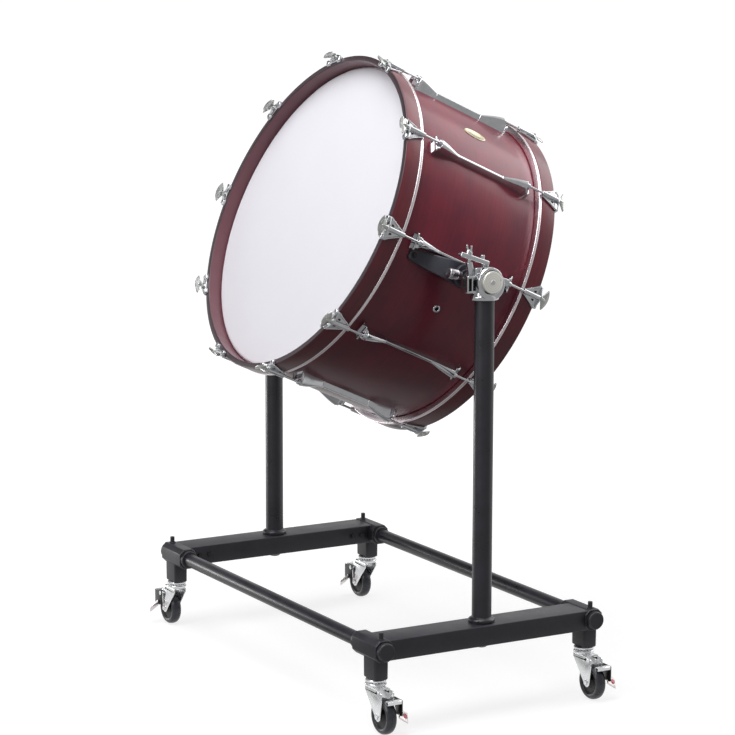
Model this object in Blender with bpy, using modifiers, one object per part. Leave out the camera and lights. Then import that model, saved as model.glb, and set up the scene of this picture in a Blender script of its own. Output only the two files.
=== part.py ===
"""Concert bass drum, 32 by 16 inches, on a wheeled stand whose two posts let it tilt.

Metres, +Z up. The origin is on the floor under the middle of the drum, +X is the right side
and -Y the front. The drum's own pieces are modelled round their axis, with x to the right,
y up the head and z along the axis to the front, and an empty on the tilt axis carries them.
"""

import math

import bmesh
import bpy
from mathutils import Matrix, Vector

# Fits
GAP = 0.0003
RUNNING = 0.0004
SEAM = 0.000005

# Drum: shell, heads and hoops
SHELL_RADIUS = 0.4064
SHELL_WALL = 0.009
BEARING_ROUND = 0.0015
HEAD_HALF_DEPTH = 0.2032
FILM = 0.0006
COLLAR_PLAY = 0.0005
COLLAR_WALL = 0.0010
FLESH_RING_DEPTH = 0.0087
FLESH_RING_PROUD = 0.0005
HOOP_PLAY = 0.0036
HOOP_WALL = 0.015
HOOP_WIDTH = 0.0435
HOOP_PROUD = 0.0353
HOOP_EDGE = 0.0015
RING_SIDES = 60

# Vent eyelet
VENT_ANGLE = math.radians(-18.0)
VENT_RADIUS = 0.0050
VENT_WALL = 0.0012
VENT_FLANGE_RADIUS = 0.0096
VENT_FLANGE = 0.0016

# Tension rods and their half-moon handles
TENSION_COUNT = 10
ROD_RADIUS = 0.004
ROD_SIDES = 8
ROD_ABOVE_HOOP = 0.0075
ROD_INTO_LUG = 0.019
HANDLE_LENGTH = 0.053
HANDLE_DEPTH = 0.0215
HANDLE_ARCH = 0.009
HANDLE_PLATE = 0.004
HANDLE_BOSS_RADIUS = 0.006
HANDLE_BOSS = 0.0036
HANDLE_TURNS = (98, 90, 84, 93, 88, 90, 86, 94, 90, 96)

# Claws
CLAW_WIDTH = 0.060
CLAW_NECK = 0.016
CLAW_REACH = 0.0485
CLAW_PLATE = 0.0034
CLAW_ROOT = 0.0020
CLAW_SLEEVE_RADIUS = 0.0066
CLAW_HOOK_DROP = 0.011
CLAW_HOOK = 0.004
CLAW_HOOK_WIDTH = 0.015
CLAW_WINDOW_WIDTH = 0.0080
CLAW_WINDOW_LENGTH = 0.0120
CLAW_WINDOW_BACK = 0.0070

# Lugs
LUG_LENGTH = 0.300
LUG_CASTING = 0.078
LUG_MOUTH_WIDTH = 0.039
LUG_MOUTH_RISE = 0.0100
LUG_NECK_WIDTH = 0.027
LUG_LIP = 0.0022
LUG_BAR_WIDTH = 0.0095
LUG_BAR_HEIGHT = 0.0150
LUG_WALL = 0.0030
LUG_POCKET = 0.0115
LUG_BORE_BOTTOM = 0.0215
LUG_ARCH_STEPS = 4

# Side brackets and trunnions
TRUNNION_BELOW_AXIS = 0.031
TRUNNION_RADIUS = 0.0125
BRACKET_LENGTH = 0.290
BRACKET_STANDOFF = 0.0455
BRACKET_PLATE = 0.0100
BRACKET_FOOT_HEIGHT = 0.0075
BRACKET_FOOT_WIDTH = 0.026
BRACKET_FOOT_RUN = 0.036
BRACKET_HUB_RADIUS = 0.032
BRACKET_WAIST = 1.2
BRACKET_LUG_PLAY = 0.002
HUB_BOSS_RADIUS = 0.0305
HUB_BOSS = 0.009
LOCK_KNOB_RADIUS = 0.0135
LOCK_KNOB_REACH = 0.056
LOCK_KNOB_TURN = math.radians(11)

# Stand
TILT = math.radians(24.6)
PIVOT_HEIGHT = 1.075
POST_INSET = 0.0365
POST_RADIUS = 0.0243
POST_WALL = 0.003
POST_COLLAR_RADIUS = 0.033
POST_COLLAR = 0.011
STUD_RADIUS = 0.009
POST_NUT_RADIUS = 0.020
POST_NUT = 0.013
BEAM_WIDTH = 0.090
BEAM_TOP = 0.2298
BEAM_DEPTH = 0.0506
BEAM_ROUND = 0.006
BEAM_WALL = 0.004
CROSS_SPACING = 0.605
CROSS_RADIUS = 0.018
CROSS_WALL = 0.0025
CROSS_HEIGHT = 0.2045
CROSS_SOCKET = 0.030

# Corner castings and caster legs
CORNER_INWARD = 0.080
CORNER_OUTWARD = 0.047
CORNER_WIDTH = 0.050
CORNER_DEPTH = 0.054
CORNER_ROUND = 0.007
CORNER_COLLAR_RADIUS = 0.0235
CORNER_COLLAR = 0.012
CORNER_BOSS_RADIUS = 0.026
CORNER_BOSS = 0.013
LEG_BOTTOM = 0.130
LEG_LENGTH = 0.060
LEG_WIDTH = 0.032
LEG_ROUND = 0.005
PEG_RADIUS = 0.006
PEG_HEIGHT = 0.017
PEG_FROM_LEG = 0.025
STEM_RADIUS = 0.006
STEM_LENGTH = 0.022

# Post clamps
CLAMP_STANDOFF = 0.0566
CLAMP_LENGTH = 0.0675
CLAMP_RADIUS = 0.0365
CLAMP_END_WALL = 0.006
CAP_RADIUS = 0.027
CAP_PROUD = 0.0076
SKIRT_RADIUS = 0.0315
SKIRT_DROP = 0.0455
SKIRT_HEIGHT = 0.014
POST_SOCKET = 0.015
EAR_WIDTH = 0.034
EAR_LENGTH = 0.026
EAR_DROP = 0.026
EAR_FORWARD = 0.045
EAR_SLOT = 0.014
EAR_TOP = 0.017
JAW_WIDTH = 0.026
JAW_FORWARD = 0.033
JAW_RISE = 0.035
BAR_WIDTH = 0.016
BAR_HEIGHT = 0.010
BAR_LENGTH = 0.084
BAR_RISE = 0.0565
BAR_FORWARD = 0.031
BAR_SLOPE = math.radians(19.6)
SWING_BOLT_RADIUS = 0.004
SWING_BOLT_TOP = 0.080
LINK_WIDTH = 0.0104
LINK_TOP = 0.047
KNOB_RADIUS = 0.005
KNOB_HEIGHT = 0.006
WING_HUB_RADIUS = 0.0085
WING_HUB = 0.0075
WING_SPAN = 0.025
WING_HEIGHT = 0.0195
WING_WIDTH = 0.0045
WING_PLATE = 0.0040

# Casters
SWIVEL_OUTWARD = 0.005
BEARING_RADIUS = 0.0265
BEARING = 0.017
CROWN_PLATE = 0.0035
WHEEL_RADIUS = 0.045
WHEEL_WIDTH = 0.027
WHEEL_ROUND = 0.006
WHEEL_DISH = 0.004
HUB_RADIUS = 0.014
TRAIL = 0.040
FORK_PLAY = 0.0018
FORK_PLATE = 0.003
FORK_NOSE = 0.012
FORK_BACK = 0.020
AXLE_RADIUS = 0.004
AXLE_HEAD_RADIUS = 0.0075
AXLE_HEAD = 0.0045
BRAKE_PIVOT_OUT = 0.050
BRAKE_PIVOT_HEIGHT = 0.086
BRAKE_PIN_RADIUS = 0.003
BRAKE_PLATE = 0.003
BRAKE_SIDE_PLAY = 0.0055
BRAKE_SHOE_OUT = 0.077
BRAKE_SHOE_LENGTH = 0.014
PEDAL_OUT = 0.069
PEDAL_LENGTH = 0.030
PEDAL_REACH = 0.026
PEDAL_DROP = 0.016

# Derived sizes
FACET = 2 * math.pi / RING_SIDES
SHELL_HALF = HEAD_HALF_DEPTH - FILM - GAP
SHELL_FLAT = SHELL_RADIUS * math.cos(FACET / 2)
HOOP_INNER = SHELL_RADIUS + HOOP_PLAY
HOOP_OUTER = HOOP_INNER + HOOP_WALL
HOOP_FACE = HEAD_HALF_DEPTH + HOOP_PROUD
HOOP_BACK = HOOP_FACE - HOOP_WIDTH
ROD_CIRCLE = HOOP_OUTER + ROD_ABOVE_HOOP
ROD_HOLE = (ROD_RADIUS + RUNNING) / math.cos(math.pi / ROD_SIDES)
CLAW_FRONT = HOOP_FACE + CLAW_HOOK
CLAW_BACK = HOOP_FACE - CLAW_REACH
CLAW_TOP = HOOP_OUTER + CLAW_PLATE
HANDLE_START = CLAW_FRONT + GAP
LUG_HALF = LUG_LENGTH / 2
LUG_SEAT = SHELL_FLAT + GAP
STAND_BACK = -TRUNNION_BELOW_AXIS * math.sin(TILT)
BRACKET_FACE = SHELL_RADIUS + BRACKET_STANDOFF
CLAMP_INNER_FACE = round(BRACKET_FACE + CLAMP_STANDOFF, 7)
POST_X = round(CLAMP_INNER_FACE + POST_INSET, 7)
SWIVEL_X = round(POST_X + SWIVEL_OUTWARD, 7)
CORNER_INNER = round(POST_X - CORNER_INWARD, 7)
CORNER_OUTER = round(POST_X + CORNER_OUTWARD, 7)
CROSS_Y = CROSS_SPACING / 2
BEAM_BOTTOM = BEAM_TOP - BEAM_DEPTH
SKIRT_BOTTOM = PIVOT_HEIGHT - SKIRT_DROP
CLAMP_OUTER_FACE = CLAMP_INNER_FACE + CLAMP_LENGTH
FORK_INSIDE = WHEEL_WIDTH / 2 + FORK_PLAY
FORK_OUTSIDE = FORK_INSIDE + FORK_PLATE
BEARING_TOP = LEG_BOTTOM - GAP
CROWN_TOP = BEARING_TOP - BEARING
CROWN_BOTTOM = CROWN_TOP - CROWN_PLATE


def clear_scene():
    for obj in list(bpy.data.objects):
        bpy.data.objects.remove(obj, do_unlink=True)


def new_collection(name):
    collection = bpy.data.collections.new(name)
    bpy.context.scene.collection.children.link(collection)
    return collection


def finish_of(name, colour, roughness, metallic):
    material = bpy.data.materials.new(name)
    material.use_nodes = True
    shader = material.node_tree.nodes["Principled BSDF"]
    shader.inputs["Base Color"].default_value = (*colour, 1.0)
    shader.inputs["Roughness"].default_value = roughness
    shader.inputs["Metallic"].default_value = metallic
    material.diffuse_color = (*colour, 1.0)
    return material


def made(name, mesh):
    """An object of this mesh among the working shapes."""
    obj = bpy.data.objects.new(name, mesh)
    WORKSHOP.objects.link(obj)
    return obj


def from_bmesh(name, shape):
    mesh = bpy.data.meshes.new(name)
    shape.to_mesh(mesh)
    shape.free()
    return made(name, mesh)


def settled(obj):
    """The object with its modifiers worked into its mesh."""
    bpy.context.view_layer.update()
    graph = bpy.context.evaluated_depsgraph_get()
    mesh = bpy.data.meshes.new_from_object(obj.evaluated_get(graph))
    obj.modifiers.clear()
    obj.data = mesh
    return obj


def combined(obj, operation, *tools):
    """The object joined with, or cut by, each tool in turn. The tools are used up."""
    for tool in tools:
        modifier = obj.modifiers.new(operation.title(), "BOOLEAN")
        modifier.operation = operation
        modifier.object = tool
    settled(obj)
    for tool in tools:
        bpy.data.objects.remove(tool, do_unlink=True)
    return obj


def block(name, low, high, rounding=0.0, segments=1):
    """A box between two corners, with its edges rounded."""
    shape = bmesh.new()
    bmesh.ops.create_cube(shape, size=1.0)
    low = Vector(low)
    high = Vector(high)
    for vertex in shape.verts:
        vertex.co = Vector((low[i] + (high[i] - low[i]) * (vertex.co[i] + 0.5) for i in range(3)))
    obj = from_bmesh(name, shape)
    if rounding:
        bevel = obj.modifiers.new("Round", "BEVEL")
        bevel.width = rounding
        bevel.segments = segments
        settled(obj)
    return obj


def turned_to(direction):
    return Vector(direction).to_track_quat("Z", "Y").to_matrix().to_4x4()


def bar_between(name, start, end, radius, end_radius=None, sides=16):
    """A round bar or a cone from one point to another."""
    start = Vector(start)
    end = Vector(end)
    shape = bmesh.new()
    bmesh.ops.create_cone(
        shape,
        cap_ends=True,
        segments=sides,
        radius1=radius,
        radius2=radius if end_radius is None else end_radius,
        depth=(end - start).length,
        matrix=Matrix.Translation((start + end) / 2) @ turned_to(end - start),
    )
    return from_bmesh(name, shape)


def turned(name, profile, sides, ring=False):
    """A profile of (radius, height) points, down its outer side, turned about Z."""
    shape = bmesh.new()
    points = [shape.verts.new((radius, 0.0, height)) for radius, height in profile]
    pairs = list(zip(points, points[1:]))
    if ring:
        pairs.append((points[-1], points[0]))
    for pair in pairs:
        shape.edges.new(pair)
    obj = from_bmesh(name, shape)
    screw = obj.modifiers.new("Turn", "SCREW")
    screw.steps = sides
    screw.render_steps = sides
    screw.use_merge_vertices = True
    screw.merge_threshold = 0.00001
    return settled(obj)


def plate(name, outline, thickness, matrix):
    """A flat outline of (x, y) points, extruded to both sides and then placed."""
    curve = bpy.data.curves.new(name, "CURVE")
    curve.dimensions = "2D"
    curve.fill_mode = "BOTH"
    curve.extrude = thickness / 2
    spline = curve.splines.new("POLY")
    spline.points.add(len(outline) - 1)
    for point, (x, y) in zip(spline.points, outline):
        point.co = (x, y, 0.0, 1.0)
    spline.use_cyclic_u = True
    guide = made(name, curve)
    bpy.context.view_layer.update()
    graph = bpy.context.evaluated_depsgraph_get()
    mesh = bpy.data.meshes.new_from_object(guide.evaluated_get(graph))
    bpy.data.objects.remove(guide, do_unlink=True)
    shape = bmesh.new()
    shape.from_mesh(mesh)
    bmesh.ops.remove_doubles(shape, verts=shape.verts, dist=0.00001)
    bmesh.ops.recalc_face_normals(shape, faces=shape.faces)
    bmesh.ops.transform(shape, matrix=matrix, verts=shape.verts)
    return from_bmesh(name, shape)


def loft(name, rings, open_start=False):
    """A skin over rings of points, closed at its ends unless the first is left open."""
    shape = bmesh.new()
    rows = [[shape.verts.new(point) for point in ring] for ring in rings]
    for row, after in zip(rows, rows[1:]):
        for i in range(len(row)):
            j = (i + 1) % len(row)
            shape.faces.new((row[i], row[j], after[j], after[i]))
    shape.faces.new(rows[-1])
    if not open_start:
        shape.faces.new(reversed(rows[0]))
    bmesh.ops.recalc_face_normals(shape, faces=shape.faces)
    return from_bmesh(name, shape)


def moved(obj, matrix):
    obj.data.transform(matrix)
    return obj


def kept(obj):
    """The mesh of a finished working shape, shaded smooth with its hard edges sharp."""
    mesh = obj.data
    bpy.data.objects.remove(obj, do_unlink=True)
    shape = bmesh.new()
    shape.from_mesh(mesh)
    bmesh.ops.remove_doubles(shape, verts=shape.verts, dist=SEAM)
    bmesh.ops.dissolve_degenerate(shape, dist=SEAM, edges=shape.edges)
    bmesh.ops.dissolve_limit(
        shape, angle_limit=math.radians(0.05), verts=shape.verts, edges=shape.edges, delimit={"MATERIAL"}
    )
    shape.to_mesh(mesh)
    shape.free()
    mesh.shade_smooth()
    mesh.set_sharp_from_angle(angle=math.radians(35))
    return mesh


def piece(name, mesh, finishes, parent, matrix=None):
    """A named part of the drum or the stand, in its parent's frame."""
    obj = bpy.data.objects.new(name, mesh)
    PARTS.objects.link(obj)
    obj.parent = parent
    if matrix is not None:
        obj.matrix_local = matrix
    if not mesh.materials:
        for finish in finishes:
            mesh.materials.append(finish)
    return obj


def axis_empty(name, location, rotation=(0.0, 0.0, 0.0), parent=None):
    empty = bpy.data.objects.new(name, None)
    empty.empty_display_size = 0.05
    PARTS.objects.link(empty)
    empty.parent = parent
    empty.location = location
    empty.rotation_euler = rotation
    return empty


def tension_angle(index):
    return 2 * math.pi * index / TENSION_COUNT


def arc(centre, radius, start, end, steps):
    """Points along a round stretch of an outline, angles in degrees."""
    angles = [math.radians(start + (end - start) * i / steps) for i in range(steps + 1)]
    return [(centre[0] + radius * math.cos(a), centre[1] + radius * math.sin(a)) for a in angles]


# Drum

def shell_mesh():
    inner = SHELL_RADIUS - SHELL_WALL
    apex = SHELL_RADIUS - BEARING_ROUND
    bevel = apex - inner
    profile = [
        (apex, SHELL_HALF),
        (SHELL_RADIUS, SHELL_HALF - BEARING_ROUND),
        (SHELL_RADIUS, BEARING_ROUND - SHELL_HALF),
        (apex, -SHELL_HALF),
        (inner, bevel - SHELL_HALF),
        (inner, SHELL_HALF - bevel),
    ]
    shell = turned("shell", profile, RING_SIDES, ring=True)
    moved(shell, Matrix.Rotation(FACET / 2, 4, "Z"))
    return kept(shell)


def vent_direction():
    return Vector((math.cos(VENT_ANGLE), math.sin(VENT_ANGLE), 0.0))


def vent_cutter():
    out = vent_direction()
    radius = VENT_RADIUS + VENT_WALL + GAP
    start = out * (SHELL_RADIUS - 3 * SHELL_WALL)
    end = out * (SHELL_RADIUS + 3 * SHELL_WALL)
    return bar_between("vent_cutter", start, end, radius, sides=24)


def vent_mesh():
    """A flanged tube through the shell wall, its flange on the flat of the outer face."""
    tube = VENT_RADIUS + VENT_WALL
    seat = SHELL_FLAT + GAP
    profile = [
        (VENT_RADIUS + VENT_FLANGE / 2, seat + VENT_FLANGE),
        (VENT_FLANGE_RADIUS - VENT_FLANGE / 2, seat + VENT_FLANGE),
        (VENT_FLANGE_RADIUS, seat + VENT_FLANGE / 2),
        (VENT_FLANGE_RADIUS, seat),
        (tube * math.cos(math.pi / 24), seat),
        (tube * math.cos(math.pi / 24), SHELL_RADIUS - SHELL_WALL),
        (VENT_RADIUS, SHELL_RADIUS - SHELL_WALL),
        (VENT_RADIUS, seat + VENT_FLANGE / 2),
    ]
    eyelet = turned("vent_eyelet", profile, 16, ring=True)
    return kept(moved(eyelet, turned_to(vent_direction())))


def head_mesh():
    """Film over the bearing edge, its collar between shell and hoop, and the flesh ring."""
    collar_in = SHELL_RADIUS + COLLAR_PLAY
    collar_out = collar_in + COLLAR_WALL
    flesh_out = HOOP_OUTER + FLESH_RING_PROUD
    ring_top = HOOP_BACK - GAP
    ring_bottom = ring_top - FLESH_RING_DEPTH
    shoulder = BEARING_ROUND + FILM
    profile = [
        (0.0, HEAD_HALF_DEPTH),
        (collar_out - shoulder, HEAD_HALF_DEPTH),
        (collar_out, HEAD_HALF_DEPTH - shoulder),
        (collar_out, ring_top),
        (flesh_out, ring_top),
        (flesh_out, ring_bottom),
        (collar_in, ring_bottom),
        (collar_in, HEAD_HALF_DEPTH - FILM - BEARING_ROUND - GAP),
        (SHELL_RADIUS - 2 * BEARING_ROUND / 3, HEAD_HALF_DEPTH - FILM),
        (0.0, HEAD_HALF_DEPTH - FILM),
    ]
    head = turned("head", profile, RING_SIDES)
    return kept(moved(head, Matrix.Rotation(FACET / 2, 4, "Z")))


def claw_shape():
    """One claw at angle 0: x out from the drum's axis, y along the hoop, z to the front."""
    half = CLAW_WIDTH / 2
    neck = CLAW_NECK / 2
    lap = HOOP_BACK + 2 * GAP
    bottom = HOOP_OUTER - CLAW_ROOT
    outline = [(-half, CLAW_FRONT), (-half, HOOP_FACE - 0.10 * HOOP_WIDTH), (-neck, lap)]
    outline += [(-y, z) for y, z in reversed(outline)]
    frame = Matrix(((0, 0, 1, 0), (1, 0, 0, 0), (0, 1, 0, 0), (0, 0, 0, 1)))
    across = Matrix.Translation(((bottom + CLAW_TOP) / 2, 0, 0))
    claw = plate("claw", outline, CLAW_TOP - bottom, across @ frame)
    windows = []
    rib = CLAW_SLEEVE_RADIUS + CLAW_ROOT / 2
    window_front = HOOP_FACE - CLAW_WINDOW_BACK
    for side in (-1, 1):
        window = [
            (side * rib, window_front),
            (side * (rib + CLAW_WINDOW_WIDTH), window_front),
            (side * (rib + CLAW_WINDOW_WIDTH / 2), window_front - CLAW_WINDOW_LENGTH),
            (side * rib, window_front - CLAW_WINDOW_LENGTH),
        ]
        lift = Matrix.Translation((HOOP_OUTER + CLAW_PLATE, 0, 0))
        windows.append(plate("window", window, 1.5 * CLAW_PLATE, lift @ frame))
    combined(claw, "DIFFERENCE", *windows)
    hooks = []
    for side in (-1, 1):
        near = side * (half - CLAW_HOOK_WIDTH)
        far = side * half
        low = (HOOP_OUTER - CLAW_HOOK_DROP, min(near, far), HOOP_FACE - GAP)
        high = (HOOP_OUTER, max(near, far), CLAW_FRONT)
        hooks.append(block("hook", low, high))
    sleeve = bar_between(
        "sleeve", (ROD_CIRCLE, 0, CLAW_BACK), (ROD_CIRCLE, 0, CLAW_FRONT), CLAW_SLEEVE_RADIUS, sides=ROD_SIDES
    )
    combined(claw, "UNION", *hooks, sleeve)
    over = 2 * CLAW_HOOK
    hole = bar_between(
        "hole", (ROD_CIRCLE, 0, CLAW_BACK - over), (
            ROD_CIRCLE, 0, CLAW_FRONT + over
        ), ROD_HOLE, sides=ROD_SIDES
    )
    return combined(claw, "DIFFERENCE", hole)


def hoop_mesh():
    """A wooden hoop with its ten claws."""
    profile = [
        (HOOP_INNER + HOOP_EDGE, HOOP_FACE),
        (HOOP_OUTER - HOOP_EDGE, HOOP_FACE),
        (HOOP_OUTER, HOOP_FACE - HOOP_EDGE),
        (HOOP_OUTER, HOOP_BACK),
        (HOOP_INNER, HOOP_BACK),
        (HOOP_INNER, HOOP_FACE - HOOP_EDGE),
    ]
    hoop = turned("hoop", profile, RING_SIDES, ring=True)
    moved(hoop, Matrix.Rotation(FACET / 2, 4, "Z"))
    hoop.data.materials.append(HOOP_WOOD)
    claw = claw_shape()
    claws = bmesh.new()
    for index in range(TENSION_COUNT):
        copy = claw.data.copy()
        copy.transform(Matrix.Rotation(tension_angle(index), 4, "Z"))
        claws.from_mesh(copy)
    bpy.data.objects.remove(claw, do_unlink=True)
    ring_of_claws = from_bmesh("claws", claws)
    ring_of_claws.data.materials.append(CHROME)
    return kept(combined(hoop, "UNION", ring_of_claws))


def lug_ring(z, shrink, floor):
    """The lug's arched section at this distance from its middle, less a wall thickness."""
    share = max(0.0, (z - LUG_HALF + LUG_CASTING) / LUG_CASTING)
    neck_height = ROD_CIRCLE + LUG_MOUTH_RISE - LUG_LIP - LUG_SEAT
    body = math.sin(share * math.pi / 2)
    flare = share**7
    width = LUG_BAR_WIDTH + (LUG_NECK_WIDTH - LUG_BAR_WIDTH) * share
    width += (LUG_MOUTH_WIDTH - LUG_NECK_WIDTH) * flare
    height = LUG_BAR_HEIGHT + (neck_height - LUG_BAR_HEIGHT) * body + LUG_LIP * flare
    half = width / 2 - shrink
    top = LUG_SEAT + height - shrink
    round_height = min(0.9 * half, 0.45 * height)
    points = [(floor, -half, z)]
    for step in range(LUG_ARCH_STEPS + 1):
        angle = math.pi * step / LUG_ARCH_STEPS
        points.append((top - round_height * (1 - math.sin(angle)), -half * math.cos(angle), z))
    points.append((floor, half, z))
    return points


def lug_mesh():
    """A lug at angle 0: a half with its open end on the mirror plane, hollowed at its mouth."""
    inward = LUG_HALF - LUG_CASTING
    stations = [0.0, inward] + [inward + LUG_CASTING * share for share in (0.42, 0.80, 1.0)]
    lug = loft("lug", [lug_ring(z, 0.0, LUG_SEAT) for z in stations], open_start=True)
    mirror = lug.modifiers.new("Mirror", "MIRROR")
    mirror.use_axis = (False, False, True)
    mirror.merge_threshold = 0.0001
    settled(lug)
    cutters = []
    for side in (-1, 1):
        floor = LUG_SEAT + LUG_WALL
        rings = [lug_ring(LUG_HALF - LUG_POCKET, LUG_WALL, floor), lug_ring(LUG_HALF, LUG_WALL, floor)]
        rings.append([(x, y, LUG_HALF + LUG_WALL) for x, y, _ in rings[-1]])
        rings = [[(x, y, side * z) for x, y, z in ring] for ring in rings]
        cutters.append(loft("pocket", rings))
        bore = bar_between(
            "bore",
            (ROD_CIRCLE, 0, side * (LUG_HALF - LUG_BORE_BOTTOM)),
            (ROD_CIRCLE, 0, side * (LUG_HALF - LUG_POCKET / 2)),
            ROD_HOLE,
            sides=ROD_SIDES,
        )
        cutters.append(bore)
    return kept(combined(lug, "DIFFERENCE", *cutters))


def rod_mesh():
    """A tension rod about z, with the flat side of its half-moon handle to the claw."""
    foot = LUG_HALF - ROD_INTO_LUG
    boss_end = HANDLE_START + HANDLE_BOSS
    profile = [
        (0.0, boss_end + HANDLE_DEPTH / 2),
        (0.75 * ROD_RADIUS, boss_end + HANDLE_DEPTH / 2),
        (HANDLE_BOSS_RADIUS, HANDLE_START),
        (ROD_RADIUS, HANDLE_START),
        (ROD_RADIUS, foot),
        (0.0, foot),
    ]
    rod = turned("rod", profile, ROD_SIDES)
    half = HANDLE_LENGTH / 2
    radius = (half**2 + HANDLE_ARCH**2) / (2 * HANDLE_ARCH)
    crest = boss_end + HANDLE_DEPTH
    centre = (0.0, crest - radius)
    spread = math.degrees(math.asin(min(1.0, half / radius)))
    tip = crest - HANDLE_ARCH - 0.0015
    moon = [(-half, tip), (-HANDLE_BOSS_RADIUS, boss_end), (HANDLE_BOSS_RADIUS, boss_end), (half, tip)]
    moon += arc(centre, radius, 90 - spread, 90 + spread, 6)
    upright = Matrix.Rotation(math.pi / 2, 4, "X")
    handle = plate("handle", moon, HANDLE_PLATE, upright)
    return kept(combined(rod, "UNION", handle))


def bracket_mesh():
    """The right side bracket with its trunnion, in the drum's frame."""
    reach = BRACKET_LENGTH / 2
    hub_run = BRACKET_HUB_RADIUS
    rise = reach - BRACKET_FOOT_RUN - hub_run

    def bow(z, foot, hub):
        share = min(1.0, max(0.0, (abs(z) - hub_run) / rise))
        return hub + (foot - hub) * (1 - math.cos(math.pi * share)) / 2

    stations = [hub_run + rise * i / 6 for i in range(7)] + [reach]
    stations = [-z for z in reversed(stations)] + stations
    foot_top = SHELL_RADIUS + BRACKET_FOOT_HEIGHT
    foot_base = SHELL_RADIUS - 2 * BRACKET_PLATE
    side_view = [(z, bow(z, foot_top, BRACKET_FACE)) for z in stations]
    side_view += [(z, bow(z, foot_base, BRACKET_FACE - BRACKET_PLATE)) for z in reversed(stations)]
    middle = -TRUNNION_BELOW_AXIS
    foot_middle = -(LUG_MOUTH_WIDTH + BRACKET_FOOT_WIDTH) / 2 - BRACKET_LUG_PLAY
    width = 4 * BRACKET_HUB_RADIUS
    frame = Matrix(((0, 1, 0, 0), (0, 0, 1, 0), (1, 0, 0, 0), (0, 0, 0, 1)))
    bracket = plate("bracket", side_view, width, Matrix.Translation((0, middle, 0)) @ frame)

    def half_width(z):
        share = min(1.0, abs(z) / reach)
        return BRACKET_FOOT_WIDTH / 2 + (
            BRACKET_HUB_RADIUS - BRACKET_FOOT_WIDTH / 2
        ) * (1 - share) ** BRACKET_WAIST

    runs = [reach * i / 6 for i in range(-6, 7)]
    top = [(z, middle + (foot_middle - middle) * abs(z) / reach + half_width(z)) for z in runs]
    low = [(z, middle + (foot_middle - middle) * abs(z) / reach - half_width(z)) for z in reversed(runs)]
    face_on = Matrix(((0, 0, 1, 0), (0, 1, 0, 0), (1, 0, 0, 0), (0, 0, 0, 1)))
    across = Matrix.Translation((SHELL_RADIUS, 0, 0))
    plan = plate("plan", top + low, 8 * BRACKET_STANDOFF, across @ face_on)
    combined(bracket, "INTERSECT", plan)
    boss_end = BRACKET_FACE + HUB_BOSS
    shaft_end = CLAMP_OUTER_FACE - CLAMP_END_WALL - RUNNING
    boss = bar_between(
        "boss", (
            BRACKET_FACE - BRACKET_PLATE / 2, middle, 0
        ), (boss_end, middle, 0), BRACKET_HUB_RADIUS * 0.96, HUB_BOSS_RADIUS, 24
    )
    shaft = bar_between("shaft", (BRACKET_FACE, middle, 0), (shaft_end, middle, 0), TRUNNION_RADIUS, sides=20)
    aim = Vector((0, -math.sin(LOCK_KNOB_TURN), math.cos(LOCK_KNOB_TURN)))
    root = Vector((BRACKET_FACE + LOCK_KNOB_RADIUS, middle, 0))
    knob = bar_between(
        "lock_knob",
        root + aim * TRUNNION_RADIUS / 2,
        root + aim * LOCK_KNOB_REACH,
        LOCK_KNOB_RADIUS,
        sides=20,
    )
    combined(bracket, "UNION", boss, shaft, knob)
    barrel = bar_between(
        "barrel", (0, 0, -BRACKET_LENGTH), (0, 0, BRACKET_LENGTH), SHELL_RADIUS + GAP, sides=RING_SIDES
    )
    moved(barrel, Matrix.Rotation(FACET / 2, 4, "Z"))
    return kept(combined(bracket, "DIFFERENCE", barrel))


# Stand

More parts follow.
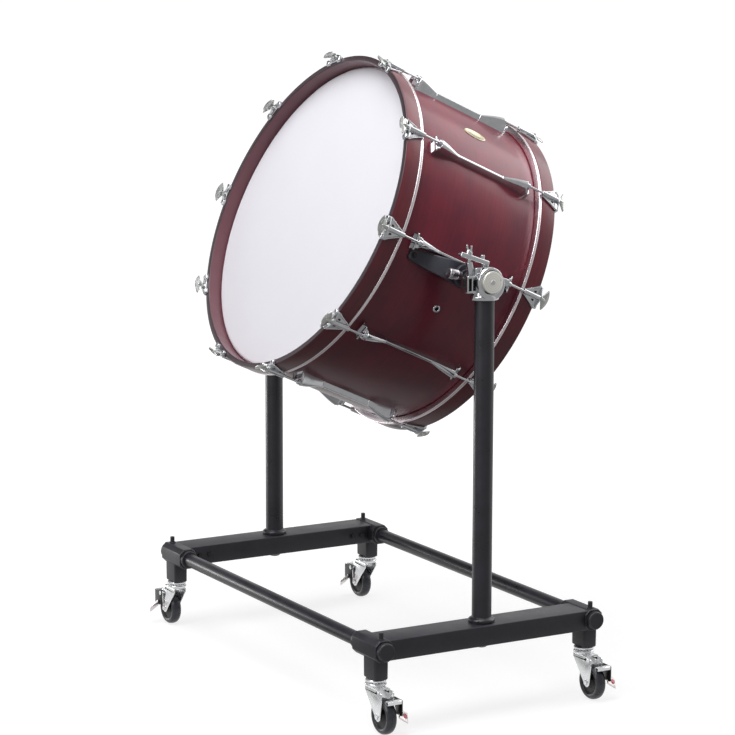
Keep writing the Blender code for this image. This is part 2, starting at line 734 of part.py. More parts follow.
def clamp_mesh():
    """The right post clamp, its origin where the tilt axis crosses the middle plane."""
    low = CLAMP_INNER_FACE
    high = CLAMP_OUTER_FACE
    body = bar_between("clamp", (low, 0, 0), (high, 0, 0), CLAMP_RADIUS, sides=28)
    cap = bar_between("cap", (high - CAP_PROUD, 0, 0), (high + CAP_PROUD, 0, 0), CAP_RADIUS, sides=24)
    drop = -SKIRT_DROP
    skirt = bar_between("skirt", (POST_X, 0, drop), (POST_X, 0, drop + SKIRT_HEIGHT), SKIRT_RADIUS, sides=24)
    neck = bar_between(
        "neck", (
            POST_X, 0, drop + SKIRT_HEIGHT / 2
        ), (POST_X, 0, 0), SKIRT_RADIUS - 0.002, 0.75 * SKIRT_RADIUS, 24
    )
    ear_front = -EAR_FORWARD - EAR_LENGTH / 2
    ear_low = (POST_X - EAR_WIDTH / 2, ear_front, -EAR_DROP)
    ear_high = (POST_X + EAR_WIDTH / 2, 0, EAR_TOP)
    ear = block("ear", ear_low, ear_high, 0.003)
    jaw = block(
        "jaw", (POST_X - JAW_WIDTH / 2, -JAW_FORWARD, 0), (POST_X + JAW_WIDTH / 2, 0, JAW_RISE), 0.003
    )
    slope = Matrix.Rotation(-BAR_SLOPE, 4, "X")
    bar = block(
        "bar", (
            -BAR_WIDTH / 2, -BAR_LENGTH / 2, -BAR_HEIGHT / 2
        ), (BAR_WIDTH / 2, BAR_LENGTH / 2, BAR_HEIGHT / 2), 0.0025
    )
    moved(bar, Matrix.Translation((POST_X, -BAR_FORWARD, BAR_RISE)) @ slope)
    riser = block(
        "riser", (POST_X - BAR_WIDTH / 3, -0.008, CLAMP_RADIUS * 0.8), (
            POST_X + BAR_WIDTH / 3, 0.008, BAR_RISE - BAR_HEIGHT
        )
    )
    knob_y = BAR_LENGTH / 2 - BAR_FORWARD - 2.4 * KNOB_RADIUS
    knob_z = BAR_RISE - (knob_y + BAR_FORWARD) * math.tan(BAR_SLOPE)
    knob = bar_between(
        "knob",
        (POST_X, knob_y, knob_z),
        (POST_X, knob_y, knob_z + BAR_HEIGHT / 2 + KNOB_HEIGHT),
        KNOB_RADIUS,
    )
    bolt = bar_between(
        "bolt", (POST_X, -EAR_FORWARD, 0), (POST_X, -EAR_FORWARD, SWING_BOLT_TOP), SWING_BOLT_RADIUS, sides=12
    )
    link = block(
        "link",
        (POST_X - LINK_WIDTH / 2, -EAR_FORWARD - LINK_WIDTH / 2, -0.8 * EAR_DROP),
        (POST_X + LINK_WIDTH / 2, -EAR_FORWARD + LINK_WIDTH / 2, LINK_TOP),
        0.002,
    )
    combined(body, "UNION", cap, skirt, neck, ear, jaw, bar, riser, knob)
    slot = block(
        "slot",
        (POST_X - EAR_SLOT / 2, ear_front - 0.001, -EAR_DROP / 2),
        (POST_X + EAR_SLOT / 2, -CLAMP_RADIUS - 0.001, EAR_DROP),
    )
    combined(body, "DIFFERENCE", slot)
    combined(body, "UNION", bolt, link)
    bore_radius = (TRUNNION_RADIUS + RUNNING) / math.cos(math.pi / 20)
    bore = bar_between("bore", (low - 0.01, 0, 0), (high - CLAMP_END_WALL, 0, 0), bore_radius, sides=20)
    socket_radius = (POST_RADIUS + GAP) / math.cos(math.pi / 24)
    socket = bar_between(
        "socket", (POST_X, 0, drop - 0.01), (POST_X, 0, drop + POST_SOCKET), socket_radius, sides=24
    )
    return kept(combined(body, "DIFFERENCE", bore, socket))


def wing_nut_mesh():
    """A wing nut about z, its bottom at 0."""
    hub = bar_between("wing_nut", (0, 0, 0), (0, 0, WING_HUB), WING_HUB_RADIUS, 0.8 * WING_HUB_RADIUS, 16)
    wings = []
    for side in (-1, 1):
        outline = [
            (side * 0.5 * WING_HUB_RADIUS, WING_HUB * 0.4),
            (side * (0.7 * WING_HUB_RADIUS + WING_WIDTH), WING_HUB * 0.4),
            (side * WING_SPAN / 2, WING_HEIGHT - WING_WIDTH / 3),
            (side * (WING_SPAN / 2 - WING_WIDTH / 3), WING_HEIGHT),
            (side * (WING_SPAN / 2 - WING_WIDTH), WING_HEIGHT - WING_WIDTH / 3),
        ]
        wings.append(plate("wing", outline, WING_PLATE, Matrix.Rotation(math.pi / 2, 4, "X")))
    combined(hub, "UNION", *wings)
    radius = (SWING_BOLT_RADIUS + RUNNING) / math.cos(math.pi / 12)
    hole = bar_between("hole", (0, 0, -WING_HUB), (0, 0, 2 * WING_HUB), radius, sides=12)
    return kept(combined(hub, "DIFFERENCE", hole))


def post_mesh():
    """A post about z: tube, base collar, the stud through the beam and its nut."""
    top = SKIRT_BOTTOM + POST_SOCKET - GAP
    seat = BEAM_TOP + GAP
    nut_top = BEAM_BOTTOM - GAP
    bore = POST_RADIUS - POST_WALL
    profile = [
        (0.0, seat + POST_COLLAR),
        (bore, seat + POST_COLLAR),
        (bore, top),
        (POST_RADIUS, top),
        (POST_RADIUS, seat + 1.6 * POST_COLLAR),
        (POST_COLLAR_RADIUS - 0.003, seat + POST_COLLAR),
        (POST_COLLAR_RADIUS, seat + POST_COLLAR - 0.003),
        (POST_COLLAR_RADIUS, seat),
        (STUD_RADIUS, seat),
        (STUD_RADIUS, nut_top),
        (POST_NUT_RADIUS, nut_top),
        (POST_NUT_RADIUS, nut_top - POST_NUT / 2),
        (STUD_RADIUS, nut_top - POST_NUT),
        (0.0, nut_top - POST_NUT),
    ]
    return kept(turned("post", profile, 24))


def beam_mesh():
    """The right base beam with the corner casting, leg and peg at each end."""
    half_run = CROSS_Y - CORNER_WIDTH / 4
    beam = block(
        "beam", (
            POST_X - BEAM_WIDTH / 2, -half_run, BEAM_BOTTOM
        ), (POST_X + BEAM_WIDTH / 2, half_run, BEAM_TOP), BEAM_ROUND, 2
    )
    additions = []
    holes = []
    for side in (-1, 1):
        y = side * CROSS_Y
        low = CROSS_HEIGHT - CORNER_DEPTH / 2
        high = CROSS_HEIGHT + CORNER_DEPTH / 2
        start = CORNER_INNER + CORNER_COLLAR
        corner = block(
            "corner",
            (start, y - CORNER_WIDTH / 2, low),
            (CORNER_OUTER, y + CORNER_WIDTH / 2, high),
            CORNER_ROUND,
        )
        collar = bar_between(
            "collar",
            (CORNER_INNER, y, CROSS_HEIGHT),
            (start + 0.01, y, CROSS_HEIGHT),
            CORNER_COLLAR_RADIUS,
            sides=20,
        )
        boss = bar_between(
            "boss",
            (CORNER_OUTER - 0.01, y, CROSS_HEIGHT),
            (CORNER_OUTER + CORNER_BOSS, y, CROSS_HEIGHT),
            CORNER_BOSS_RADIUS,
            CORNER_BOSS_RADIUS - 0.002,
            20,
        )
        leg = block(
            "leg",
            (SWIVEL_X - LEG_LENGTH / 2, y - LEG_WIDTH / 2, LEG_BOTTOM),
            (SWIVEL_X + LEG_LENGTH / 2, y + LEG_WIDTH / 2, CROSS_HEIGHT),
            LEG_ROUND,
        )
        peg_x = SWIVEL_X + PEG_FROM_LEG
        peg = bar_between(
            "peg", (peg_x, y, CROSS_HEIGHT), (peg_x, y, high + PEG_HEIGHT), PEG_RADIUS, sides=12
        )
        additions += [corner, collar, boss, leg, peg]
        socket_radius = (CROSS_RADIUS + GAP) / math.cos(math.pi / 24)
        socket_end = CORNER_INNER + CROSS_SOCKET
        holes.append(
            bar_between(
                "socket",
                (CORNER_INNER - 0.01, y, CROSS_HEIGHT),
                (socket_end, y, CROSS_HEIGHT),
                socket_radius,
                sides=24,
            )
        )
        stem_hole = (STEM_RADIUS + RUNNING) / math.cos(math.pi / 12)
        stem_top = LEG_BOTTOM + STEM_LENGTH + GAP
        holes.append(
            bar_between(
                "stem_hole", (SWIVEL_X, y, LEG_BOTTOM - 0.01), (SWIVEL_X, y, stem_top), stem_hole, sides=12
            )
        )
    stud_hole = (STUD_RADIUS + GAP) / math.cos(math.pi / 16)
    holes.append(
        bar_between(
            "stud_hole", (POST_X, 0, BEAM_BOTTOM - 0.01), (POST_X, 0, BEAM_TOP + 0.01), stud_hole, sides=16
        )
    )
    inside = POST_X - BEAM_WIDTH / 2 + BEAM_WALL
    outside = POST_X + BEAM_WIDTH / 2 - BEAM_WALL
    run = half_run - CORNER_WIDTH
    holes.append(
        block("hollow", (inside, -run, BEAM_BOTTOM + BEAM_WALL), (outside, run, BEAM_TOP - BEAM_WALL))
    )
    combined(beam, "UNION", *additions)
    return kept(combined(beam, "DIFFERENCE", *holes))


def cross_tube_mesh():
    end = CORNER_INNER + CROSS_SOCKET - GAP
    bore = CROSS_RADIUS - CROSS_WALL
    profile = [(bore, end), (CROSS_RADIUS, end), (CROSS_RADIUS, -end), (bore, -end)]
    tube = turned("cross_tube", profile, 24, ring=True)
    return kept(moved(tube, Matrix.Rotation(math.pi / 2, 4, "Y")))


# Casters, about their swivel axis with the floor at 0 and the wheel trailing to +X

def fork_mesh():
    stem = bar_between(
        "fork", (0, 0, CROWN_TOP), (0, 0, LEG_BOTTOM + STEM_LENGTH), STEM_RADIUS, sides=12
    )
    bearing = bar_between(
        "bearing", (0, 0, CROWN_TOP - 0.001), (0, 0, BEARING_TOP), BEARING_RADIUS, 0.88 * BEARING_RADIUS, 20
    )
    crown = block(
        "crown", (-FORK_BACK, -FORK_OUTSIDE, CROWN_BOTTOM), (BRAKE_PIVOT_OUT - 0.012, FORK_OUTSIDE, CROWN_TOP)
    )
    parts = [bearing, crown]
    outline = [(-FORK_BACK, CROWN_TOP), (-FORK_BACK, CROWN_BOTTOM - 0.008)]
    outline += arc((TRAIL, WHEEL_RADIUS), FORK_NOSE, 215, 360, 4)
    outline += [(BRAKE_PIVOT_OUT + 0.008, BRAKE_PIVOT_HEIGHT - 0.006)]
    outline += [(BRAKE_PIVOT_OUT + 0.008, CROWN_TOP - 0.004), (BRAKE_PIVOT_OUT + 0.004, CROWN_TOP)]
    upright = Matrix.Rotation(math.pi / 2, 4, "X")
    for side in (-1, 1):
        shift = Matrix.Translation((0, side * (FORK_INSIDE + FORK_OUTSIDE) / 2, 0))
        parts.append(plate("cheek", outline, FORK_PLATE, shift @ upright))
        start = side * (FORK_OUTSIDE - FORK_PLATE / 2)
        end = side * (FORK_OUTSIDE + AXLE_HEAD)
        parts.append(
            bar_between(
                "axle_head",
                (TRAIL, start, WHEEL_RADIUS),
                (TRAIL, end, WHEEL_RADIUS),
                AXLE_HEAD_RADIUS,
                sides=6,
            )
        )
    parts.append(
        bar_between(
            "axle",
            (TRAIL, -FORK_OUTSIDE, WHEEL_RADIUS),
            (TRAIL, FORK_OUTSIDE, WHEEL_RADIUS),
            AXLE_RADIUS,
            sides=12,
        )
    )
    combined(stem, "UNION", *parts)
    pin_hole = (BRAKE_PIN_RADIUS + RUNNING) / math.cos(math.pi / 10)
    hole = bar_between(
        "pin_hole",
        (BRAKE_PIVOT_OUT, FORK_INSIDE - 0.002, BRAKE_PIVOT_HEIGHT),
        (BRAKE_PIVOT_OUT, FORK_OUTSIDE + 0.002, BRAKE_PIVOT_HEIGHT),
        pin_hole,
        sides=10,
    )
    return kept(combined(stem, "DIFFERENCE", hole))


def wheel_mesh():
    """A wheel about z, its middle at 0: tread, dished sides, hub and axle bore."""
    half = WHEEL_WIDTH / 2
    bore = (AXLE_RADIUS + RUNNING) / math.cos(math.pi / 12)
    upper = [
        (bore, half),
        (HUB_RADIUS, half - WHEEL_DISH),
        (WHEEL_RADIUS - WHEEL_ROUND, half),
        (WHEEL_RADIUS, half - WHEEL_ROUND),
    ]
    lower = [(radius, -height) for radius, height in reversed(upper)]
    return kept(turned("wheel", upper + lower, 24, ring=True))


def brake_mesh():
    """The brake rocker in its fork's frame: side plate, pin, shoe over the tread and pedal."""
    side_in = FORK_OUTSIDE + BRAKE_SIDE_PLAY
    side_out = side_in + BRAKE_PLATE
    shoe_low = BRAKE_SHOE_OUT - BRAKE_SHOE_LENGTH / 2
    shoe_high = BRAKE_SHOE_OUT + BRAKE_SHOE_LENGTH / 2
    top = BRAKE_PIVOT_HEIGHT + 0.006
    outline = [
        (BRAKE_PIVOT_OUT - 0.007, top),
        (BRAKE_PIVOT_OUT - 0.007, BRAKE_PIVOT_HEIGHT - 0.006),
        (PEDAL_OUT - PEDAL_LENGTH / 2, WHEEL_RADIUS + 0.016),
        (PEDAL_OUT - PEDAL_LENGTH / 2, WHEEL_RADIUS + 0.006),
        (PEDAL_OUT + PEDAL_LENGTH / 2, WHEEL_RADIUS + 0.006),
        (shoe_high, BRAKE_PIVOT_HEIGHT - 0.008),
        (shoe_high, top),
    ]
    upright = Matrix.Rotation(math.pi / 2, 4, "X")
    shift = Matrix.Translation((0, (side_in + side_out) / 2, 0))
    rocker = plate("brake", outline, BRAKE_PLATE, shift @ upright)
    pin = bar_between(
        "pin",
        (BRAKE_PIVOT_OUT, side_in + 0.001, BRAKE_PIVOT_HEIGHT),
        (BRAKE_PIVOT_OUT, FORK_INSIDE + 0.0005, BRAKE_PIVOT_HEIGHT),
        BRAKE_PIN_RADIUS,
        sides=10,
    )
    shoe = block("shoe", (shoe_low, -WHEEL_WIDTH / 2, top - 0.003), (shoe_high, side_out, top))
    pad = block(
        "pad", (shoe_low, -WHEEL_WIDTH / 2, top - 0.008), (shoe_low + 0.009, WHEEL_WIDTH / 2, top - 0.001)
    )
    tab = plate(
        "tab",
        [
            (side_in, WHEEL_RADIUS + 0.014),
            (side_in, WHEEL_RADIUS + 0.006),
            (side_in + PEDAL_REACH, WHEEL_RADIUS + 0.006 - PEDAL_DROP),
            (side_in + PEDAL_REACH, WHEEL_RADIUS + 0.010 - PEDAL_DROP),
        ],
        PEDAL_LENGTH,
        Matrix(((0, 0, 1, PEDAL_OUT), (1, 0, 0, 0), (0, 1, 0, 0), (0, 0, 0, 1))),
    )
    return kept(combined(rocker, "UNION", pin, shoe, pad, tab))


def build_drum(drum):
    """Everything that tilts. The drum empty is on the tilt axis, with z to the front."""
    centre = Matrix.Translation((0, TRUNNION_BELOW_AXIS, 0))
    to_rear = Matrix.Rotation(math.pi, 4, "X")
    shell = piece("shell", shell_mesh(), [SHELL_LACQUER], drum, centre)
    cutter = vent_cutter()
    cutter.parent = drum
    cutter.matrix_local = centre
    cutter.hide_render = True
    cutter.display_type = "WIRE"
    WORKSHOP.objects.unlink(cutter)
    CUTTERS.objects.link(cutter)
    hole = shell.modifiers.new("Vent hole", "BOOLEAN")
    hole.operation = "DIFFERENCE"
    hole.object = cutter
    piece("vent_eyelet", vent_mesh(), [CHROME], drum, centre)
    head = head_mesh()
    hoop = hoop_mesh()
    rod = rod_mesh()
    lug = lug_mesh()
    for end, facing in (("front", Matrix()), ("rear", to_rear)):
        piece(end + "_head", head, [HEAD_FILM], drum, centre @ facing)
        piece(end + "_hoop", hoop, [HOOP_WOOD, CHROME], drum, centre @ facing)
        for index in range(TENSION_COUNT):
            round_drum = Matrix.Rotation(tension_angle(index), 4, "Z")
            out = Matrix.Translation((ROD_CIRCLE, 0, 0))
            turn = Matrix.Rotation(math.radians(HANDLE_TURNS[index % len(HANDLE_TURNS)]), 4, "Z")
            name = f"{end}_tension_rod_{index + 1:02d}"
            piece(name, rod, [CHROME], drum, centre @ facing @ round_drum @ out @ turn)
    for index in range(TENSION_COUNT):
        round_drum = Matrix.Rotation(tension_angle(index), 4, "Z")
        piece(f"lug_{index + 1:02d}", lug, [CHROME], drum, centre @ round_drum)
    bracket = bracket_mesh()
    piece("right_side_bracket", bracket, [BLACK_CASTING], drum, centre)
    half_turn = Matrix.Rotation(math.pi, 4, "Y")
    piece("left_side_bracket", bracket, [BLACK_CASTING], drum, centre @ half_turn)


def build_stand(stand):
    """Everything that stands still, and the wing nuts and casters on it."""
    clamp = clamp_mesh()
    wing_nut = wing_nut_mesh()
    post = post_mesh()
    beam = beam_mesh()
    tube = cross_tube_mesh()
    fork = fork_mesh()
    wheel = wheel_mesh()
    brake = brake_mesh()
    nut_rest = BAR_RISE + (EAR_FORWARD - BAR_FORWARD) * math.tan(BAR_SLOPE)
    nut_rest += (BAR_HEIGHT / 2 + WING_HUB_RADIUS * math.sin(BAR_SLOPE)) / math.cos(BAR_SLOPE) + GAP
    for side, sign in (("right", 1), ("left", -1)):
        mirrored = Matrix.Diagonal((sign, 1, 1, 1))
        clamp_side = clamp
        if sign < 0:
            clamp_side = clamp.copy()
            clamp_side.transform(mirrored)
            clamp_side.flip_normals()
        pivot = Matrix.Translation((0, 0, PIVOT_HEIGHT))
        piece(side + "_tilt_clamp", clamp_side, [CHROME], stand, pivot)
        nut_place = (sign * POST_X, -EAR_FORWARD, PIVOT_HEIGHT + nut_rest)
        piece(side + "_wing_nut", wing_nut, [CHROME], stand, Matrix.Translation(nut_place))
        piece(side + "_post", post, [BLACK_ENAMEL], stand, Matrix.Translation((sign * POST_X, 0, 0)))
        turn = Matrix.Rotation(0 if sign > 0 else math.pi, 4, "Z")
        piece(side + "_base_beam", beam, [BLACK_ENAMEL], stand, turn)
        for end, way in (("front", -1), ("rear", 1)):
            name = f"{end}_{side}_caster"
            swivel = Matrix.Translation((sign * SWIVEL_X, way * CROSS_Y, 0)) @ turn
            piece(name + "_fork", fork, [CHROME], stand, swivel)
            piece(name + "_brake", brake, [CHROME], stand, swivel)
            axle = Matrix.Translation((TRAIL, 0, WHEEL_RADIUS)) @ Matrix.Rotation(math.pi / 2, 4, "X")
            piece(name + "_wheel", wheel, [CASTER_RUBBER], stand, swivel @ axle)
    for end, way in (("front", -1), ("rear", 1)):
        place = Matrix.Translation((0, way * CROSS_Y, CROSS_HEIGHT))
        piece(end + "_cross_tube", tube, [BLACK_ENAMEL], stand, place)


clear_scene()
PARTS = new_collection("concert_bass_drum")
CUTTERS = new_collection("cutters")
WORKSHOP = new_collection("working_shapes")
SHELL_LACQUER = finish_of("red_lacquered_wood", (0.16, 0.022, 0.030), 0.22, 0.0)
HOOP_WOOD = finish_of("red_lacquered_hoop", (0.26, 0.055, 0.060), 0.25, 0.0)
HEAD_FILM = finish_of("white_head_film", (0.85, 0.84, 0.87), 0.55, 0.0)
CHROME = finish_of("chrome_plate", (0.78, 0.78, 0.80), 0.12, 1.0)
BLACK_CASTING = finish_of("black_cast_enamel", (0.016, 0.016, 0.018), 0.45, 0.0)
BLACK_ENAMEL = finish_of("black_enamel", (0.020, 0.020, 0.023), 0.30, 0.0)
CASTER_RUBBER = finish_of("grey_caster_rubber", (0.060, 0.061, 0.072), 0.60, 0.0)
build_drum(axis_empty("tilt_axis", (0.0, STAND_BACK, PIVOT_HEIGHT), (math.pi / 2 - TILT, 0.0, 0.0)))
build_stand(axis_empty("stand_middle", (0.0, STAND_BACK, 0.0)))
bpy.data.collections.remove(WORKSHOP)
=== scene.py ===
"""Looks of the concert bass drum: every visible piece of the drum, its stand and casters."""

import math

import bmesh
import bpy
from bpy.props import FloatProperty, FloatVectorProperty, IntProperty
from mathutils import Matrix, Vector


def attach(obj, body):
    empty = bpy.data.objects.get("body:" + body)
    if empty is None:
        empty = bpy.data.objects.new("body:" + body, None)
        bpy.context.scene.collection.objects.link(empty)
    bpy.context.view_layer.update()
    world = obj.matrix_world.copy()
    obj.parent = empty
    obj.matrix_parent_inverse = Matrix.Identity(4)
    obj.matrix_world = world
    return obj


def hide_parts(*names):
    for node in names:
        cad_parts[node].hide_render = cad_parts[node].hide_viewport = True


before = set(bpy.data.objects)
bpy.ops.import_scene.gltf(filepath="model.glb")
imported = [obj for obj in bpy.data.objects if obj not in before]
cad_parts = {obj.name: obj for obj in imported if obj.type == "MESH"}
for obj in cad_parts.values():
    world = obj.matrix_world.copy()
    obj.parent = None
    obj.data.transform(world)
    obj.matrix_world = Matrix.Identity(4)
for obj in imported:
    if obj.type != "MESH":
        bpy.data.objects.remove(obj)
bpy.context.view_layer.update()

bl_info = {
    "name": "Concert Bass Drum",
    "version": (1, 0, 0),
    "blender": (4, 5, 0),
    "location": "View3D > Sidebar > Bass Drum",
    "description": "Builds a concert bass drum on a wheeled tilting stand",
    "category": "Object",
}

# Placing: the drum's frame has x to the right, y up the head and z along its axis to the front
TILT = math.radians(24.6)
PIVOT = Vector((0.0, -0.012905, 1.075))
TRUNNION_BELOW_AXIS = 0.031
STAND = Matrix.Translation((0.0, PIVOT.y, 0.0))
DRUM = (
    Matrix.Translation(PIVOT)
    @ Matrix.Rotation(math.pi / 2 - TILT, 4, "X")
    @ Matrix.Translation((0.0, TRUNNION_BELOW_AXIS, 0.0))
)
# Names of the two heads, sides and ends, each with its turn or its sign
FACINGS = (("front", Matrix()), ("rear", Matrix.Rotation(math.pi, 4, "X")))
SIDES = (("right", 1), ("left", -1))
ENDS = (("front", -1), ("rear", 1))
# Signs of a rectangle's corners, in order
CORNERS = ((-1, -1), (-1, 1), (1, 1), (1, -1))
UPRIGHT = Matrix.Rotation(math.pi / 2, 4, "X")
ALONG_X = Matrix.Rotation(math.pi / 2, 4, "Y")
# Sides of the large turned pieces
SMOOTH = 240
# Angles round the shell in degrees from the right side, and the badge's place along the drum
VENT_ANGLE, BADGE_ANGLE = -18.0, 54.0
BADGE_Z = -0.01
# The badge's rings: share of its full size, and rise over the shell
BADGE_STEPS = ((1.0, -0.0003), (1.0, 0.0012), (0.95, 0.0017), (0.88, 0.0017), (0.84, 0.0011), (0.02, 0.0012))
# How each T-handle was left standing, in degrees
HANDLE_TURNS = (98, 90, 84, 93, 88, 90, 86, 94, 90, 96)
# Rings of a lug's mouth: (how far back, half width, height), then (how far back, how far inside)
MOUTH_FRAME = (
    (0.0105, 0.0158, 0.024),
    (0.0055, 0.0165, 0.0205),
    (0.0044, 0.0212, 0.0212),
    (0.0036, 0.0226, 0.0222),
    (0.001, 0.0226, 0.0222),
    (0.0002, 0.022, 0.0216),
)
MOUTH_LIP = ((0.0, 0.0018), (0.0002, 0.0028), (0.0012, 0.0036), (0.005, 0.004))
LOCK_KNOB_TURN = math.radians(11)
# The clamp's swing bolt, from the tilt axis: how far forward it stands and where the wing nut sits on it
BOLT_Y, NUT_SEAT = -0.045, 0.0702
PEDAL_TWIST = math.radians(42)


def linear(code):
    """A linear colour from an sRGB hex value."""
    values = [int(code[i : i + 2], 16) / 255 for i in (1, 3, 5)]
    return tuple(v / 12.92 if v <= 0.04045 else ((v + 0.055) / 1.055) ** 2.4 for v in values)


def length(name, description, default):
    return FloatProperty(name=name, description=description, default=default, unit="LENGTH", precision=4)


def colour(name, description, code):
    return FloatVectorProperty(
        name=name, description=description, default=linear(code), subtype="COLOR", size=3, min=0.0, max=1.0
    )


class DrumSizes(bpy.types.PropertyGroup):
    """Sizes of the drum itself."""

    shell_radius: length("Shell radius", "Outside radius of the wooden shell", 0.4064)
    shell_wall: length("Shell wall", "Thickness of the shell", 0.009)
    half_depth: length("Half depth", "From the middle of the drum to a head", 0.2032)
    hoop_inner: length("Hoop inside radius", "Inside radius of a wooden hoop", 0.41)
    hoop_outer: length("Hoop outside radius", "Outside radius of a wooden hoop", 0.425)
    hoop_width: length("Hoop width", "Width of a hoop along the drum", 0.0435)
    hoop_face: length("Hoop face", "From the middle of the drum to a hoop's face", 0.2385)
    rod_circle: length("Rod circle", "Radius at which the tension rods stand", 0.4325)
    lug_half: length("Half a lug", "From the middle of the drum to a lug's mouth", 0.15)
    bracket_face: length("Bracket face", "Radius of the side bracket's outer face", 0.4519)
    tension_count: IntProperty(name="Tension points", description="Lugs around the shell", default=10, min=4)


class StandSizes(bpy.types.PropertyGroup):
    """Sizes of the stand and casters."""

    post_x: length("Post place", "From the middle to a post's axis", 0.545)
    post_radius: length("Post radius", "Radius of a post", 0.0243)
    beam_top: length("Beam top", "Height of a base beam's top", 0.2298)
    beam_depth: length("Beam depth", "Height of a base beam's section", 0.0506)
    beam_width: length("Beam width", "Width of a base beam's section", 0.09)
    cross_y: length("Cross tube place", "From the stand's middle to a cross tube", 0.3025)
    cross_height: length("Cross tube height", "Height of a cross tube's axis", 0.2045)
    cross_radius: length("Cross tube radius", "Radius of a cross tube", 0.018)
    swivel_x: length("Swivel place", "From the middle to a caster's swivel axis", 0.55)
    wheel_radius: length("Wheel radius", "Radius of a caster's wheel", 0.045)
    trail: length("Caster trail", "From the swivel axis to the axle", 0.04)


class Finishes(bpy.types.PropertyGroup):
    """Main colours."""

    shell: colour("Shell stain", "Middle colour of the stained shell", "#862138")
    hoop: colour("Hoop stain", "Middle colour of the stained hoops", "#7E2A36")
    head: colour("Head", "Colour of the coated head", "#E9E8EE")
    enamel: colour("Enamel", "Colour of the stand's enamel", "#29282F")
    tread: colour("Tread", "Colour of the caster wheels", "#3A3B42")


# Shapes


def new_object(name, mesh):
    obj = bpy.data.objects.new(name, mesh)
    bpy.context.scene.collection.objects.link(obj)
    return obj


def from_bmesh(name, shape):
    mesh = bpy.data.meshes.new(name)
    bmesh.ops.recalc_face_normals(shape, faces=shape.faces)
    shape.to_mesh(mesh)
    shape.free()
    return new_object(name, mesh)


def settled(obj):
    """The object with its modifiers worked into its mesh."""
    bpy.context.view_layer.update()
    graph = bpy.context.evaluated_depsgraph_get()
    mesh = bpy.data.meshes.new_from_object(obj.evaluated_get(graph))
    obj.modifiers.clear()
    obj.data = mesh
    return obj


def oblong(left, right, low, high):
    """The corners of a rectangle, in order."""
    return [(left, low), (right, low), (right, high), (left, high)]


def across_x(x):
    """The matrix that stands an outline of (y, z) points up at x."""
    return Matrix(((0, 0, 1, x), (1, 0, 0, 0), (0, 1, 0, 0), (0, 0, 0, 1)))


def half_turned(sign, axis):
    """Half a turn about an axis for the left side, and none for the right."""
    return Matrix.Rotation(0 if sign > 0 else math.pi, 4, axis)


def eased(points, radius, steps=4, closed=True):
    """The outline with each of its corners rounded."""
    made = []
    for i, here in enumerate(points):
        if not closed and i in (0, len(points) - 1):
            made.append(tuple(here))
            continue
        corner = Vector(here)
        back = Vector(points[i - 1]) - corner
        ahead = Vector(points[(i + 1) % len(points)]) - corner
        reach = min(radius, 0.45 * back.length, 0.45 * ahead.length)
        start = corner + back.normalized() * reach
        end = corner + ahead.normalized() * reach
        for step in range(steps + 1):
            t = step / steps
            made.append(tuple((1 - t) ** 2 * start + 2 * t * (1 - t) * corner + t * t * end))
    return made


def revolved(name, profile, edge, steps, sides, ring=False):
    """A profile of (radius, height) points with its corners eased, turned about Z. A ring's is closed."""
    profile = eased(profile, edge, steps, closed=ring)
    shape = bmesh.new()
    rows = []
    for radius, height in profile:
        count = 1 if radius < 1e-7 else sides
        turns = [math.tau * i / sides for i in range(count)]
        rows.append([shape.verts.new((radius * math.cos(a), radius * math.sin(a), height)) for a in turns])
    pairs = list(zip(rows, rows[1:]))
    if ring:
        pairs.append((rows[-1], rows[0]))
    for row, after in pairs:
        for i in range(sides):
            j = (i + 1) % sides
            corners = (row[i % len(row)], row[j % len(row)], after[j % len(after)], after[i % len(after)])
            shape.faces.new(list(dict.fromkeys(corners)))
    return from_bmesh(name, shape)


def turned_to(start, direction):
    """The matrix that lays Z along a direction from a point."""
    return Matrix.Translation(start) @ Vector(direction).to_track_quat("Z", "Y").to_matrix().to_4x4()


def bar(start, end, radius, edge=0.0006, sides=32, end_radius=None):
    """A round bar or cone from one point to another, its ends eased."""
    start = Vector(start)
    way = Vector(end) - start
    last = radius if end_radius is None else end_radius
    profile = [(0.0, 0.0), (radius, 0.0), (last, way.length), (0.0, way.length)]
    obj = revolved("bar", profile, edge, 3, sides)
    obj.data.transform(turned_to(start, way))
    return obj


def along(axis, across, *runs):
    """Bars on one line along an axis, at its two other coordinates, each as (from, to) and what bar takes."""
    made = []
    for start, end, *rest in runs:
        ends = []
        for reach in (start, end):
            point = list(across)
            point.insert("xyz".index(axis), reach)
            ends.append(point)
        made.append(bar(*ends, *rest))
    return made


def rounded(shape, edges, radius, segments):
    """Rounds edges of a shape."""
    bmesh.ops.bevel(
        shape, geom=edges, offset=radius, segments=segments, profile=0.5, affect="EDGES", clamp_overlap=True
    )


def block(low, high, rounding=0.001, segments=3):
    """A box between two corners with rounded edges."""
    shape = bmesh.new()
    bmesh.ops.create_cube(shape, size=1.0)
    for vertex in shape.verts:
        vertex.co = Vector([low[i] + (high[i] - low[i]) * (vertex.co[i] + 0.5) for i in range(3)])
    rounded(shape, shape.edges[:], rounding, segments)
    return from_bmesh("block", shape)


def plate(outline, thickness, edge=0.0006, matrix=None):
    """A flat outline of (x, y) points, as thick as given about its plane, with eased edges."""
    shape = bmesh.new()
    face = shape.faces.new([shape.verts.new((x, y, -thickness / 2)) for x, y in outline])
    pushed = bmesh.ops.extrude_face_region(shape, geom=[face])
    raised = [v for v in pushed["geom"] if isinstance(v, bmesh.types.BMVert)]
    bmesh.ops.translate(shape, vec=(0.0, 0.0, thickness), verts=raised)
    flat = [e for e in shape.edges if abs(e.verts[0].co.z - e.verts[1].co.z) < 1e-9]
    rounded(shape, flat, edge, 2)
    if matrix is not None:
        bmesh.ops.transform(shape, matrix=matrix, verts=shape.verts)
    return from_bmesh("plate", shape)


